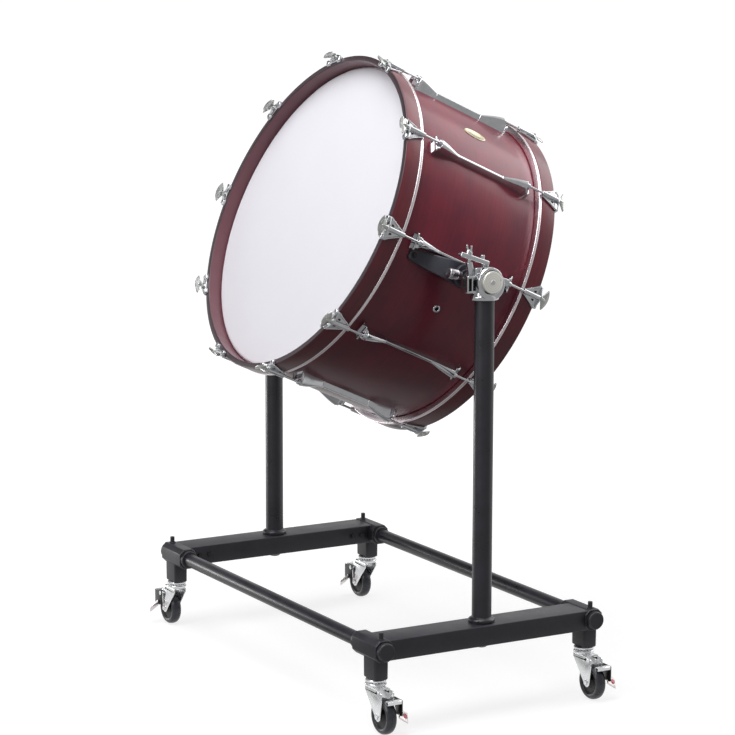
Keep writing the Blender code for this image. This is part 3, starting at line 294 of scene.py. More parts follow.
def loft(name, rings, closed_ends=True):
    """A skin over rings of points, each with as many points."""
    shape = bmesh.new()
    rows = [[shape.verts.new(point) for point in ring] for ring in rings]
    for row, after in zip(rows, rows[1:]):
        for i in range(len(row)):
            j = (i + 1) % len(row)
            shape.faces.new((row[i], row[j], after[j], after[i]))
    if closed_ends:
        shape.faces.new(rows[-1])
        shape.faces.new(list(reversed(rows[0])))
    return from_bmesh(name, shape)


def discard(*objects):
    """Removes objects that were only patterns for others."""
    for obj in objects:
        bpy.data.objects.remove(obj, do_unlink=True)


def merged(name, *parts):
    """One object from several. The parts are used up."""
    shape = bmesh.new()
    for part in parts:
        shape.from_mesh(part.data)
    discard(*parts)
    mesh = bpy.data.meshes.new(name)
    shape.to_mesh(mesh)
    shape.free()
    return new_object(name, mesh)


def cut(obj, *tools):
    """The object less each tool. The tools are used up."""
    for tool in tools:
        modifier = obj.modifiers.new("Cut", "BOOLEAN")
        modifier.operation = "DIFFERENCE"
        modifier.object = tool
    settled(obj)
    discard(*tools)
    return obj


def copied(obj, name, matrix=None):
    """A second object with its own mesh, placed."""
    twin = new_object(name, obj.data.copy())
    if matrix is not None:
        twin.data.transform(matrix)
        if matrix.determinant() < 0:
            twin.data.flip_normals()
    return twin


def finished(obj, finish, body, nodes=(), place=None, sharp=34):
    """Places a piece, gives it its finish and lets it move with its body."""
    mesh = obj.data
    if place is not None:
        mesh.transform(place)
        if place.determinant() < 0:
            mesh.flip_normals()
    mesh.materials.clear()
    mesh.materials.append(MATERIALS[finish])
    mesh.shade_smooth()
    mesh.set_sharp_from_angle(angle=math.radians(sharp))
    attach(obj, body)
    if nodes:
        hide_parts(*nodes)
    return obj


def laid(name, body, place, pieces):
    """Copies of pieces given as (shape, end of its name, finish, slot, nodes it replaces), put in place."""
    for shape, label, finish, slot, *nodes in pieces:
        finished(copied(shape, name + label), finish, body, nodes, place)


# Nodes


def wired(tree, node, sockets):
    """The node with its inputs set or linked. A node given as a value stands for its first output."""
    for name, value in sockets.items():
        if isinstance(value, bpy.types.Node):
            value = value.outputs[0]
        if isinstance(value, bpy.types.NodeSocket):
            tree.links.new(value, node.inputs[name])
        else:
            node.inputs[name].default_value = value
    return node


def add(tree, kind, sockets=None, **settings):
    """A node with its settings, its socket values and the links into it."""
    made = tree.nodes.new(kind)
    for name, value in settings.items():
        setattr(made, name, value)
    return wired(tree, made, sockets or {})


def copying_tree(name, inputs, layout):
    """Geometry nodes that put copies of a shape where the layout says, and give them a finish."""
    tree = bpy.data.node_groups.new(name, "GeometryNodeTree")
    for label, kind in (*inputs, ("Finish", "Material")):
        tree.interface.new_socket(label, in_out="INPUT", socket_type="NodeSocket" + kind)
    tree.interface.new_socket("Copies", in_out="OUTPUT", socket_type="NodeSocketGeometry")
    given = add(tree, "NodeGroupInput").outputs
    copies = add(tree, "GeometryNodeInstanceOnPoints", layout(tree, given))
    real = add(tree, "GeometryNodeRealizeInstances", {"Geometry": copies})
    painted = add(tree, "GeometryNodeSetMaterial", {"Geometry": real, "Material": given["Finish"]})
    add(tree, "NodeGroupOutput", {"Copies": painted})
    return tree


def evenly_round(tree, given):
    """Copies turned evenly round the Z axis."""
    points = add(tree, "GeometryNodePoints", {"Count": given["Count"]})
    step = add(tree, "ShaderNodeMath", {0: math.tau, 1: given["Count"]}, operation="DIVIDE")
    index = add(tree, "GeometryNodeInputIndex")
    angle = add(tree, "ShaderNodeMath", {0: index, 1: step}, operation="MULTIPLY")
    turn = add(tree, "ShaderNodeCombineXYZ", {"Z": angle})
    return {"Points": points, "Instance": given["Shape"], "Rotation": turn}


def on_points(tree, given):
    """A copy at each point of a mesh."""
    shape = add(tree, "GeometryNodeObjectInfo", {"Object": given["Shape"]})
    points = add(tree, "GeometryNodeMeshToPoints", {"Mesh": given["Places"]})
    return {"Points": points, "Instance": shape.outputs["Geometry"]}


def copies_round_axis():
    return copying_tree("Copies round an axis", (("Shape", "Geometry"), ("Count", "Int")), evenly_round)


def copies_at_places():
    return copying_tree("Copies at places", (("Places", "Geometry"), ("Shape", "Object")), on_points)


def repeated(obj, tree, **values):
    """The object run through a tree, its inputs set by their sockets' identifiers."""
    modifier = obj.modifiers.new("Copies", "NODES")
    modifier.node_group = tree
    for item in tree.interface.items_tree:
        if item.in_out == "INPUT" and item.name in values:
            modifier[item.identifier] = values[item.name]
    return settled(obj)


def between(tree, value, low, high, start=0.3, end=0.7, step="LINEAR"):
    """A number or a colour that runs from low to high while a value goes from start to end."""
    coloured = isinstance(high, tuple)
    ends = (0.0, 1.0) if coloured else (low, high)
    sockets = {"Value": value, "From Min": start, "From Max": end, "To Min": ends[0], "To Max": ends[1]}
    share = add(tree, "ShaderNodeMapRange", sockets, interpolation_type=step)
    if not coloured:
        return share
    first, second = [(*colour, 1.0) if isinstance(colour, tuple) else colour for colour in (low, high)]
    return add(tree, "ShaderNodeMix", {0: share, 6: first, 7: second}, data_type="RGBA").outputs[2]


# Finishes

DRUM_CENTRE = tuple(DRUM.translation)
DRUM_TURN = (math.pi / 2 - TILT, 0.0, 0.0)
# Where a hoop's inside takes a greyer colour, a painted sheen, and its face a dark one, painted shade:
# whether along the axis, and metres from the middle
HOOP_INSIDE_PAINTED_SHEEN = (False, 0.412, 0.4108)
HOOP_FACE_PAINTED_SHADE = (True, 0.2362, 0.2378)
# Stretches an axis so far that it adds nothing to a length
FAR = 1e9
# Grains as (size in metres, detail, roughness, place, turn)
# Maple's streaks, and patches where the stain took unevenly
STREAK = ((0.11, 0.11, 0.0024), 5.0, 0.6, DRUM_CENTRE, DRUM_TURN)
STAIN = ((0.1, 0.1, 0.075), 3.0, 0.5, DRUM_CENTRE, DRUM_TURN)
# Lines of drawing or turning, in truth finer than the 0.6 mm they need to show
SPUN = ((0.2, 0.2, 0.0006), 3.0, 0.5, DRUM_CENTRE, DRUM_TURN)
# The head's coat: uneven thickness, and a tooth of about 0.3 mm that is drawn at 1.6 mm to show
FILM_CLOUD = (0.16, 2.0)
FILM_TOOTH = (0.0016, 2.0)
# Marks as wide as a finger, the ripple of a polished casting, dust, and scuffs on moulded pieces
HAZE = (0.012, 3.0)
CAST_WAVE = (0.02, 2.0)
DUST = (0.05, 4.0, 0.6)
SCUFF = (0.009, 4.0, 0.6)


def new_finish(name, middle, roughness, metallic=0.0, **more):
    """A material with one shader, its even values on the shader's own sockets."""
    material = bpy.data.materials.new(name)
    material.use_nodes = True
    tree = material.node_tree
    tree.nodes.clear()
    values = {"Base Color": (*middle, 1.0), "Roughness": roughness, "Metallic": metallic}
    values.update({key.replace("_", " "): value for key, value in more.items()})
    shader = add(tree, "ShaderNodeBsdfPrincipled", values)
    add(tree, "ShaderNodeOutputMaterial", {"Surface": shader})
    return material, tree, shader


def laid_out(tree, place, turn, sizes):
    """Object coordinates in a frame that is placed, turned and scaled."""
    where = add(tree, "ShaderNodeTexCoord").outputs["Object"]
    sockets = {"Vector": where, "Location": place, "Rotation": turn, "Scale": sizes}
    return add(tree, "ShaderNodeMapping", sockets, vector_type="TEXTURE")


def noise(tree, size, detail=3.0, roughness=0.5, place=(0, 0, 0), turn=(0, 0, 0)):
    """Noise whose grains have this size in metres along each axis of the turned frame."""
    sizes = size if isinstance(size, tuple) else (size, size, size)
    where = laid_out(tree, place, turn, sizes)
    sockets = {"Vector": where, "Scale": 1.0, "Detail": detail, "Roughness": roughness}
    return add(tree, "ShaderNodeTexNoise", sockets)


def dressed(tree, shader, colour, sheen, height=None, strength=0.0, distance=0.0):
    """Gives a shader its colour and sheen, and lets a height stand out of its surface."""
    sockets = {"Base Color": colour, "Roughness": sheen}
    if height is not None:
        relief = {"Height": height, "Strength": strength, "Distance": distance}
        sockets["Normal"] = add(tree, "ShaderNodeBump", relief)
    wired(tree, shader, sockets)


def shades(middle, dark, light):
    """Two shades of a colour."""
    return [tuple(min(1.0, channel * factor) for channel in middle) for factor in (dark, light)]


def grained(name, middle, roughness, colour_run, sheen_run, bump=(), metallic=0.0, **coat):
    """A finish whose colour and sheen run with a grain. A run is (grain, low, high), where the colour's
    are factors of the middle one, and a bump is (grain, strength, distance)."""
    material, tree, shader = new_finish(name, middle, roughness, metallic, **coat)
    runs = (colour_run, sheen_run, bump)
    patterns = {grain: noise(tree, *grain) for grain in dict.fromkeys(run[0] for run in runs if run)}
    colour, sheen, height = ([patterns[run[0]], *run[1:]] if run else [] for run in runs)
    colour[1:] = shades(middle, *colour[1:])
    dressed(tree, shader, between(tree, *colour), between(tree, *sheen), *height)
    return material


def reach_from(tree, along_axis):
    """Distance from the drum's middle along its axis, or else distance from the axis."""
    kept = (FAR, FAR, 1.0) if along_axis else (1.0, 1.0, FAR)
    where = laid_out(tree, DRUM_CENTRE, DRUM_TURN, kept)
    return add(tree, "ShaderNodeVectorMath", {0: where}, operation="LENGTH").outputs["Value"]


def stained_maple(name, middle, gloss, *parts):
    """Maple ply stained dark red under satin lacquer: faint streaks run round the drum, with a slow uneven
    stain and pores that the lacquer has filled. Parts, as (where, colour), take a colour of their own that
    stands in for light: painted sheen on a hoop's inside, painted shade on its face."""
    coat = {"Coat_Weight": 0.45, "Coat_Roughness": 0.2, "Coat_IOR": 1.5, "Specular_IOR_Level": 0.35}
    material, tree, shader = new_finish(name, middle, gloss, **coat)
    streak = noise(tree, *STREAK)
    base = between(tree, streak, *shades(middle, 0.84, 1.12))
    tint = between(tree, noise(tree, *STAIN), (0.7, 0.7, 0.84), (1.06, 1.0, 0.94))
    layers = {0: 1.0, 6: base, 7: tint}
    stained = add(tree, "ShaderNodeMix", layers, data_type="RGBA", blend_type="MULTIPLY").outputs[2]
    # Each part's own colour is painted light: a sheen on a hoop's inside, shade on its face
    for (along_axis, start, end), own in parts:
        stained = between(tree, reach_from(tree, along_axis), stained, own, start, end)
    dressed(tree, shader, stained, between(tree, streak, gloss - 0.03, gloss + 0.05), streak, 0.06, 0.0002)
    return material


def coated_film(name, middle):
    """Polyester film with a sprayed white coat: matte, with a fine even tooth."""
    return grained(
        name, middle, 0.5, (FILM_CLOUD, 0.985, 1.0), (FILM_TOOTH, 0.46, 0.58), (FILM_TOOTH, 0.08, 0.0002)
    )


def plated(name, code, roughness, ripple=0.1, metal=1.0):
    """Metal plate over a casting: bright, with a slow ripple and faint handling haze."""
    sheen = (HAZE, roughness * 0.7, roughness * 1.5)
    return grained(name, linear(code), roughness, (HAZE, 0.9, 1.0), sheen, (CAST_WAVE, ripple, 0.002), metal)


def turned_metal(name, code, roughness):
    """Metal faced on a lathe: satin, with fine rings round the tilt axis."""
    middle = linear(code)
    material, tree, shader = new_finish(name, middle, roughness, 1.0)
    where = laid_out(tree, tuple(PIVOT), (0, 0, 0), (1.0, 1.0, 1.0))
    sockets = {"Vector": where, "Scale": 60.0, "Distortion": 0.6, "Detail": 2.0}
    rings = add(tree, "ShaderNodeTexWave", sockets, wave_type="RINGS", rings_direction="X").outputs["Fac"]
    tint = between(tree, rings, *shades(middle, 0.86, 1.0), 0.0, 1.0)
    dressed(tree, shader, tint, roughness, rings, 0.12, 0.0004)
    return material


def spun_ring(name, code):
    """Drawn or turned metal, bright with fine lines round the drum's axis."""
    return grained(name, linear(code), 0.24, (SPUN, 0.88, 1.0), (SPUN, 0.18, 0.32), metallic=1.0)


def enamelled(name, middle, roughness, tooth_size, tooth):
    """Enamel or powder coat baked on steel: near black, with a slight orange peel, drawn at about twice
    its real size to show, and faint dust."""
    sheen = (DUST, roughness - 0.05, roughness + 0.08)
    peel = ((tooth_size, 2.0), tooth, 0.0004)
    coat = {"Coat_Weight": 0.15, "Coat_Roughness": 0.3}
    return grained(name, middle, roughness, (DUST, 0.8, 1.35), sheen, peel, **coat)


def moulded(name, middle, roughness):
    """Moulded rubber or plastic: even colour, a soft sheen and scuffed where it is handled."""
    sheen = (SCUFF, roughness - 0.07, roughness + 0.1)
    return grained(name, middle, roughness, (SCUFF, 0.85, 1.2), sheen, (SCUFF, 0.06, 0.0005))


MATERIALS = {}


def make_finishes(colours):
    """All finishes, each named for what the real one is."""
    MATERIALS.update(
        shell=stained_maple("stained maple shell, satin lacquer", colours.shell, 0.36),
        hoop=stained_maple(
            "stained maple hoop, satin lacquer",
            colours.hoop,
            0.34,
            # The hoop's greyer inside is a painted sheen, its dark face painted shade
            (HOOP_INSIDE_PAINTED_SHEEN, linear("#6D3F48")),
            (HOOP_FACE_PAINTED_SHADE, linear("#3A2A31")),
        ),
        head=coated_film("coated polyester film", colours.head),
        chrome=plated("chrome plate on zinc casting", "#D4D5D8", 0.11),
        bright=plated("polished chrome on steel rod", "#DCDDDF", 0.08, 0.03),
        nickel=plated("nickel plate on cast handle", "#C6C8C4", 0.2, 0.08),
        zinc=plated("bright zinc on pressed steel", "#FAFBFC", 0.2, 0.12, 0.8),
        ring=spun_ring("drawn aluminium flesh hoop", "#F1E6EA"),
        knob=spun_ring("turned steel knob", "#BDBABF"),
        cap=turned_metal("satin nickel, lathe faced", "#FBFAF2", 0.52),
        badge=plated("champagne anodised aluminium", "#D9CFB2", 0.3, 0.04),
        casting=enamelled("black textured enamel on casting", colours.enamel, 0.44, 0.0016, 0.25),
        bow=enamelled("blue-black enamel on bracket casting", linear("#34353E"), 0.42, 0.0016, 0.25),
        tube=enamelled("black powder coat on tube", colours.enamel, 0.3, 0.0022, 0.1),
        tread=moulded("moulded polyurethane tread", colours.tread, 0.3),
        black=moulded("black moulded nylon", linear("#111113"), 0.5),
        lever=enamelled("black dip coat on pressed lever", linear("#1B1B1F"), 0.34, 0.002, 0.1),
        white=plated("white lacquer on bright steel tab", "#FBF3F2", 0.3, 0.02, 0.7),
        red=plated("red lacquer on bright steel tab", "#C4626A", 0.3, 0.02, 0.5),
    )


# Drum


class BASSDRUM_OT_shell(bpy.types.Operator):
    """Shell with its bearing edges, the air vent and the blank badge"""

    bl_idname = "bassdrum.shell"
    bl_label = "Shell"

    def execute(self, context):
        sizes = context.scene.drum_sizes
        outer = sizes.shell_radius
        inner = outer - sizes.shell_wall
        half = sizes.half_depth - 0.0009
        edge_cut = 0.0015
        edge = outer - edge_cut
        profile = [(edge, half), (outer, half - edge_cut), (outer, edge_cut - half), (edge, -half)]
        profile += [(inner, edge - inner - half), (inner, half - edge + inner)]
        shell = revolved("maple_shell", profile, 0.0012, 2, SMOOTH, ring=True)
        vent_angle = math.radians(VENT_ANGLE)
        out = Vector((math.cos(vent_angle), math.sin(vent_angle), 0.0))
        cut(shell, bar(out * (inner - 0.02), out * (outer + 0.02), 0.0064))
        finished(shell, "shell", "drum", ("shell",), DRUM)
        bore, neck = 0.005, 0.0062
        rim = [(bore, 0.0008), (0.0058, 0.0019), (0.0082, 0.0019)]
        rim += [(0.0096, 0.0006), (0.0096, -0.0004), (neck, -0.0004)]
        profile = [(r, outer + z) for r, z in rim] + [(neck, inner - 0.0005), (bore, inner - 0.0005)]
        vent = revolved("vent_grommet", profile, 0.0004, 2, 48, ring=True)
        vent.data.transform(turned_to((0, 0, 0), out))
        finished(vent, "chrome", "drum", ("vent_eyelet",), DRUM)
        self.badge(outer)
        return {"FINISHED"}

    def badge(self, outer):
        """An oval plate that follows the shell, with a raised rim and nothing on it."""
        half_run, half_width, across = 0.034, 0.0155, math.radians(BADGE_ANGLE)
        rings = []
        for share, rise in BADGE_STEPS:
            ring = []
            for i in range(64):
                turn = math.tau * i / 64
                angle = across + share * half_width * math.sin(turn) / outer
                radius = outer + rise
                z = BADGE_Z + share * half_run * math.cos(turn)
                ring.append((radius * math.cos(angle), radius * math.sin(angle), z))
            rings.append(ring)
        finished(loft("blank_oval_badge", rings), "badge", "drum", (), DRUM, 50)


class BASSDRUM_OT_heads(bpy.types.Operator):
    """Two heads, each a coated film and its aluminium flesh hoop"""

    bl_idname = "bassdrum.heads"
    bl_label = "Heads"

    def execute(self, context):
        sizes = context.scene.drum_sizes
        radius, top = sizes.shell_radius, sizes.half_depth
        back = sizes.hoop_face - sizes.hoop_width
        bend, collar, inside, seat = radius - 0.006, radius + 0.0015, radius + 0.0006, back - 0.0003
        under = top - 0.0006
        film = [(0.0, top), (bend, top), (collar, top - 0.0022), (collar, seat)]
        film += [(inside, seat), (inside, top - 0.0026), (bend, under), (0.0, under)]
        rim = oblong(inside, sizes.hoop_outer + 0.0005, back - 0.009, seat)
        for end, facing in FACINGS:
            head = revolved(end + "_head_film", film, 0.003, 4, SMOOTH)
            finished(head, "head", "drum", (end + "_head",), DRUM @ facing)
            ring = revolved(end + "_flesh_hoop", rim, 0.0024, 4, SMOOTH, ring=True)
            finished(ring, "ring", "drum", (), DRUM @ facing)
        return {"FINISHED"}


class BASSDRUM_OT_hoops(bpy.types.Operator):
    """Two wooden hoops, each with its claws"""

    bl_idname = "bassdrum.hoops"
    bl_label = "Hoops and claws"

    def execute(self, context):
        sizes = context.scene.drum_sizes
        face = sizes.hoop_face
        section = oblong(sizes.hoop_inner, sizes.hoop_outer, face - sizes.hoop_width, face)
        claw = self.claw(sizes)
        copying = copies_round_axis()
        for end, facing in FACINGS:
            hoop = revolved(end + "_wood_hoop", section, 0.0026, 4, SMOOTH, ring=True)
            finished(hoop, "hoop", "drum", (end + "_hoop",), DRUM @ facing)
            claws = copied(claw, end + "_claws")
            repeated(claws, copying, Count=sizes.tension_count, Finish=MATERIALS["chrome"])
            finished(claws, "chrome", "drum", (), DRUM @ facing)
        discard(claw)
        return {"FINISHED"}

    def claw(self, sizes):
        """One claw at angle 0: two windowed flanks up to a rod sleeve, raised rims and a front plate
        whose feet hook over the hoop."""
        face, outer, circle = sizes.hoop_face, sizes.hoop_outer, sizes.rod_circle
        back = face - sizes.hoop_width
        waist, wide, rim = face - 0.0275, 0.0296, 0.0021
        rings = []
        sections = ((face + 0.003, wide), (face - 0.0045, wide), (waist, 0.015), (back - 0.001, 0.007))
        for z, half in sections:
            side = [(outer + 0.0004, half, z), (outer + 0.0022, half, z), (circle - 0.003, 0.0048, z)]
            rings.append([(x, -y, z) for x, y, z in side] + side[::-1])
        flanks = loft("flanks", rings)
        near, high, low = 0.0082, face - 0.009, face - 0.0165
        window = [(near, high), (0.0142, high), (0.012, low), (near, low)]
        holes = [eased([(side * y, z) for y, z in window], 0.0012, 2) for side in (-1, 1)]
        cut(flanks, *(plate(hole, 0.04, 0.0003, across_x(outer)) for hole in holes))
        parts = [flanks]
        for side in (-1, 1):
            shoulder = (outer + 0.0032, side * 0.0142, waist)
            parts.append(bar((outer + 0.0024, side * 0.0284, face + 0.001), shoulder, rim, 0.0005, 14))
            parts.append(bar(shoulder, (circle - 0.0035, side * 0.0058, back), rim, 0.0005, 14))
        foot = [(-0.03, outer - 0.0116), (-0.015, outer - 0.0116), (-0.0125, outer - 0.007)]
        crown = [(0.03, outer + 0.004), (0.0085, circle + 0.0064)]
        front = foot + [(-y, x) for y, x in reversed(foot)] + crown + [(-y, x) for y, x in reversed(crown)]
        facing = Matrix(((0, 1, 0, 0), (1, 0, 0, 0), (0, 0, 1, face + 0.002), (0, 0, 0, 1)))
        parts.append(plate(eased(front, 0.003, 4), 0.0036, 0.0012, facing))
        for side in (-1, 1):
            near, far = sorted((side * 0.0152, side * wide))
            low_corner = (outer - 0.0114, near, face - 0.001)
            parts.append(block(low_corner, (outer + 0.0036, far, face + 0.0085), 0.0036, 4))
        parts += along("z", (circle, 0), (face - 0.049, face + 0.0036, 0.0064, 0.001, 28))
        parts.append(block((outer + 0.0005, -0.0048, back), (circle, 0.0048, face + 0.002), 0.0008))
        return merged("claw", *parts)


class BASSDRUM_OT_tension_rods(bpy.types.Operator):
    """Tension rods with half-moon handles, one for each end of each lug"""

    bl_idname = "bassdrum.tension_rods"
    bl_label = "Tension rods"

    def execute(self, context):
        sizes = context.scene.drum_sizes
        start = sizes.hoop_face + 0.0043
        inside = sizes.lug_half - 0.019
        thread, washer, under, over = 0.0031, 0.0085, start - 0.0001, start + 0.0012
        profile = [(0.0, inside), (thread, inside), (thread, under)]
        profile += [(washer, under), (washer, over), (0.0, over)]
        rod = revolved("tension_rod", profile, 0.0005, 2, 24)
        handle = self.handle(start)
        out = Matrix.Translation((sizes.rod_circle, 0, 0))
        for end, facing in FACINGS:
            for index in range(sizes.tension_count):
                round_drum = Matrix.Rotation(math.tau * index / sizes.tension_count, 4, "Z")
                turn = Matrix.Rotation(math.radians(HANDLE_TURNS[index]), 4, "Z")
                node = f"{end}_tension_rod_{index + 1:02d}"
                place = DRUM @ facing @ round_drum @ out @ turn
                finished(copied(rod, node + "_bright"), "bright", node, (node,), place)
                finished(copied(handle, node + "_handle"), "nickel", node, (), place)
        discard(rod, handle)
        return {"FINISHED"}

    def handle(self, start):
        """A half moon on a stem, its face raised inside a rim."""
        boss_end = start + 0.0036
        half, arch = 0.0265, 0.009
        crest = boss_end + 0.0215
        radius = (half**2 + arch**2) / (2 * arch)
        opening = math.asin(half / radius)
        tip = crest - arch - 0.0015
        moon = [(-0.0045, boss_end), (0.0045, boss_end)]
        moon += [(0.012, boss_end + 0.004), (half - 0.001, tip)]
        for i in range(25):
            a = math.pi / 2 - opening + 2 * opening * i / 24
            moon.append((radius * math.cos(a), crest - radius + radius * math.sin(a)))
        moon += [(0.001 - half, tip), (-0.012, boss_end + 0.004)]
        inner = [(x * 0.72, boss_end + 0.0075 + (z - boss_end - 0.0075) * 0.74) for x, z in moon[2:-1]]
        stem = [(0.0, start + 0.001), (0.0064, start + 0.0014), (0.005, boss_end + 0.006)]
        stem += [(0.0032, boss_end + 0.013), (0.0, boss_end + 0.014)]
        return merged(
            "handle",
            revolved("stem", stem, 0.0005, 2, 24),
            plate(moon, 0.004, 0.0014, UPRIGHT),
            plate(inner, 0.005, 0.001, UPRIGHT),
        )


class BASSDRUM_OT_lugs(bpy.types.Operator):
    """Long lugs: a hooded mouth at each end of a slim bar, with the nuts inside"""

    bl_idname = "bassdrum.lugs"
    bl_label = "Lugs"

    def execute(self, context):
        sizes = context.scene.drum_sizes
        seat = sizes.shell_radius - 0.001
        half = sizes.lug_half
        casting = 0.078
        rise = sizes.rod_circle + 0.01 - seat
        bar_height = 0.0155

        def section(z, grow=0.0):
            share = max(0.0, (abs(z) - half + casting) / casting)
            body = math.sin(min(1.0, share) * math.pi / 2)
            flare = share**9
            low = 0.0056 + 0.0079 * share**0.9 + 0.006 * flare + grow
            high = 0.0034 + 0.0068 * body + 0.006 * flare + 0.5 * grow
            height = bar_height + (rise - 0.0022 - bar_height) * body**1.15 + 0.0022 * flare + 0.5 * grow
            top = seat + height
            outline = [(seat, -low), (top, -high), (top, high), (seat, low)]
            return [(x, y, z) for x, y in eased(outline, 0.0016 + 0.0085 * body, 6, closed=False)]

        def frame_at(z, wide, height, shrink=0.0):
            floor, top = seat + (0.0026 if shrink else 0.0), seat + height - shrink
            wide -= shrink
            outline = [(floor, -wide), (top, 0.001 - wide), (top, wide - 0.001), (floor, wide)]
            return [(x, y, z) for x, y in eased(outline, 0.0042, 6, closed=False)]

        joint = half - casting
        stations = [0.0, 0.5 * joint, joint - 0.0016, joint - 0.001, joint + 0.0004, joint + 0.001]
        stations += [joint + casting * i / 14 for i in range(1, 12)] + [half - 0.013]
        there = [section(z, 0.0012 if abs(z - joint + 0.0003) < 0.0009 else 0.0) for z in stations]
        there += [frame_at(half - back, wide, height) for back, wide, height in MOUTH_FRAME]
        there += [frame_at(half - back, 0.0226, 0.0222, shrink) for back, shrink in MOUTH_LIP]
        back = [[(x, y, -z) for x, y, z in ring] for ring in reversed(there)]
        lug = loft("lug", back[:-1] + there)
        ends = [(side * (half - 0.003), side * (half - 0.014), 0.0066, 0.0014, 24) for side in (-1, 1)]
        lugs = merged("lug_castings", lug, *along("z", (sizes.rod_circle, 0), *ends))
        repeated(lugs, copies_round_axis(), Count=sizes.tension_count, Finish=MATERIALS["chrome"])
        nodes = [f"lug_{index + 1:02d}" for index in range(sizes.tension_count)]
        finished(lugs, "chrome", "drum", nodes, DRUM, 30)
        return {"FINISHED"}


class BASSDRUM_OT_side_brackets(bpy.types.Operator):
    """Cast bows over the side lugs, with the trunnions that the drum hangs on"""

    bl_idname = "bassdrum.side_brackets"
    bl_label = "Side brackets"

    def execute(self, context):
        sizes = context.scene.drum_sizes
        radius, face = sizes.shell_radius, sizes.bracket_face
        reach, middle, foot_middle = 0.145, -TRUNNION_BELOW_AXIS, -0.0305
        hub_face, trunnion_end = face + 0.0135, sizes.rod_circle + 0.1365
        aim = Vector((0, -math.sin(LOCK_KNOB_TURN), math.cos(LOCK_KNOB_TURN)))
        root = Vector((hub_face, middle, 0))
        bow = self.bow(radius, face, reach, middle, foot_middle)
        hub, collar, shaft = along(
            "x",
            (middle, 0),
            (face - 0.004, face + 0.009, 0.0315, 0.002, 56, 0.0305),
            (face + 0.006, hub_face, 0.019, 0.0015, 40),
            (face, trunnion_end, 0.0125, 0.0008, 40),
        )
        neck = bar(root + aim * 0.02, root + aim * 0.036, 0.0105, 0.001)
        knob = bar(root + aim * 0.03, root + aim * 0.056, 0.0135, 0.003, 56)
        bracket = merged("bracket", bow, hub, collar, neck, shaft)
        foot = radius + 0.0072
        screws = []
        for side in (-1, 1):
            washer = (foot, foot + 0.0012, 0.008, 0.0004, 24)
            head = (foot + 0.001, foot + 0.006, 0.0055, 0.0008, 6)
            screws += along("x", (foot_middle, side * (reach - 0.013)), washer, head)
        screws = merged("screws", *screws)
        for side, sign in SIDES:
            pieces = (
                (bracket, "_bracket_casting", "bow", "black_casting", side + "_side_bracket"),
                (screws, "_bracket_screws", "black", "black_casting"),
                (knob, "_lock_knob", "knob", "chrome"),
            )
            laid(side, "drum", DRUM @ half_turned(sign, "Y"), pieces)
        discard(bracket, screws, knob)
        return {"FINISHED"}

    def bow(self, radius, face, reach, middle, foot_middle):
        """The cast bow: two feet on the shell, rising to the hub."""
        hub_run, foot_run, thick = 0.032, 0.036, 0.01
        hub_half, foot_half = 0.032, 0.0145
        rise = reach - foot_run - hub_run

        def height(z, foot, hub):
            share = min(1.0, max(0.0, (abs(z) - hub_run) / rise))
            return hub + (foot - hub) * (1 - math.cos(math.pi * share)) / 2

        def section(z, shrink=0.0):
            share = min(1.0, abs(z) / reach)
            wide = foot_half + (hub_half - foot_half) * (1 - share) ** 1.2 - shrink
            y = middle + (foot_middle - middle) * share
            top = height(z, radius + 0.0075, face) - shrink
            low = max(height(z, radius - 2 * thick, face - thick), radius - 0.003)
            low = min(low, top - 0.004)
            return [(x, w, z) for x, w in eased(oblong(low, top, y - wide, y + wide), 0.0034, 4)]

        ends = ((0.0, 0.0085), (0.001, 0.0048), (0.003, 0.002))
        rings = [section(inset - reach, shrink) for inset, shrink in ends]
        rings += [section(reach * i / 22) for i in range(-21, 22)]
        rings += [section(reach - inset, shrink) for inset, shrink in reversed(ends)]
        return loft("bow", rings)


# Stand


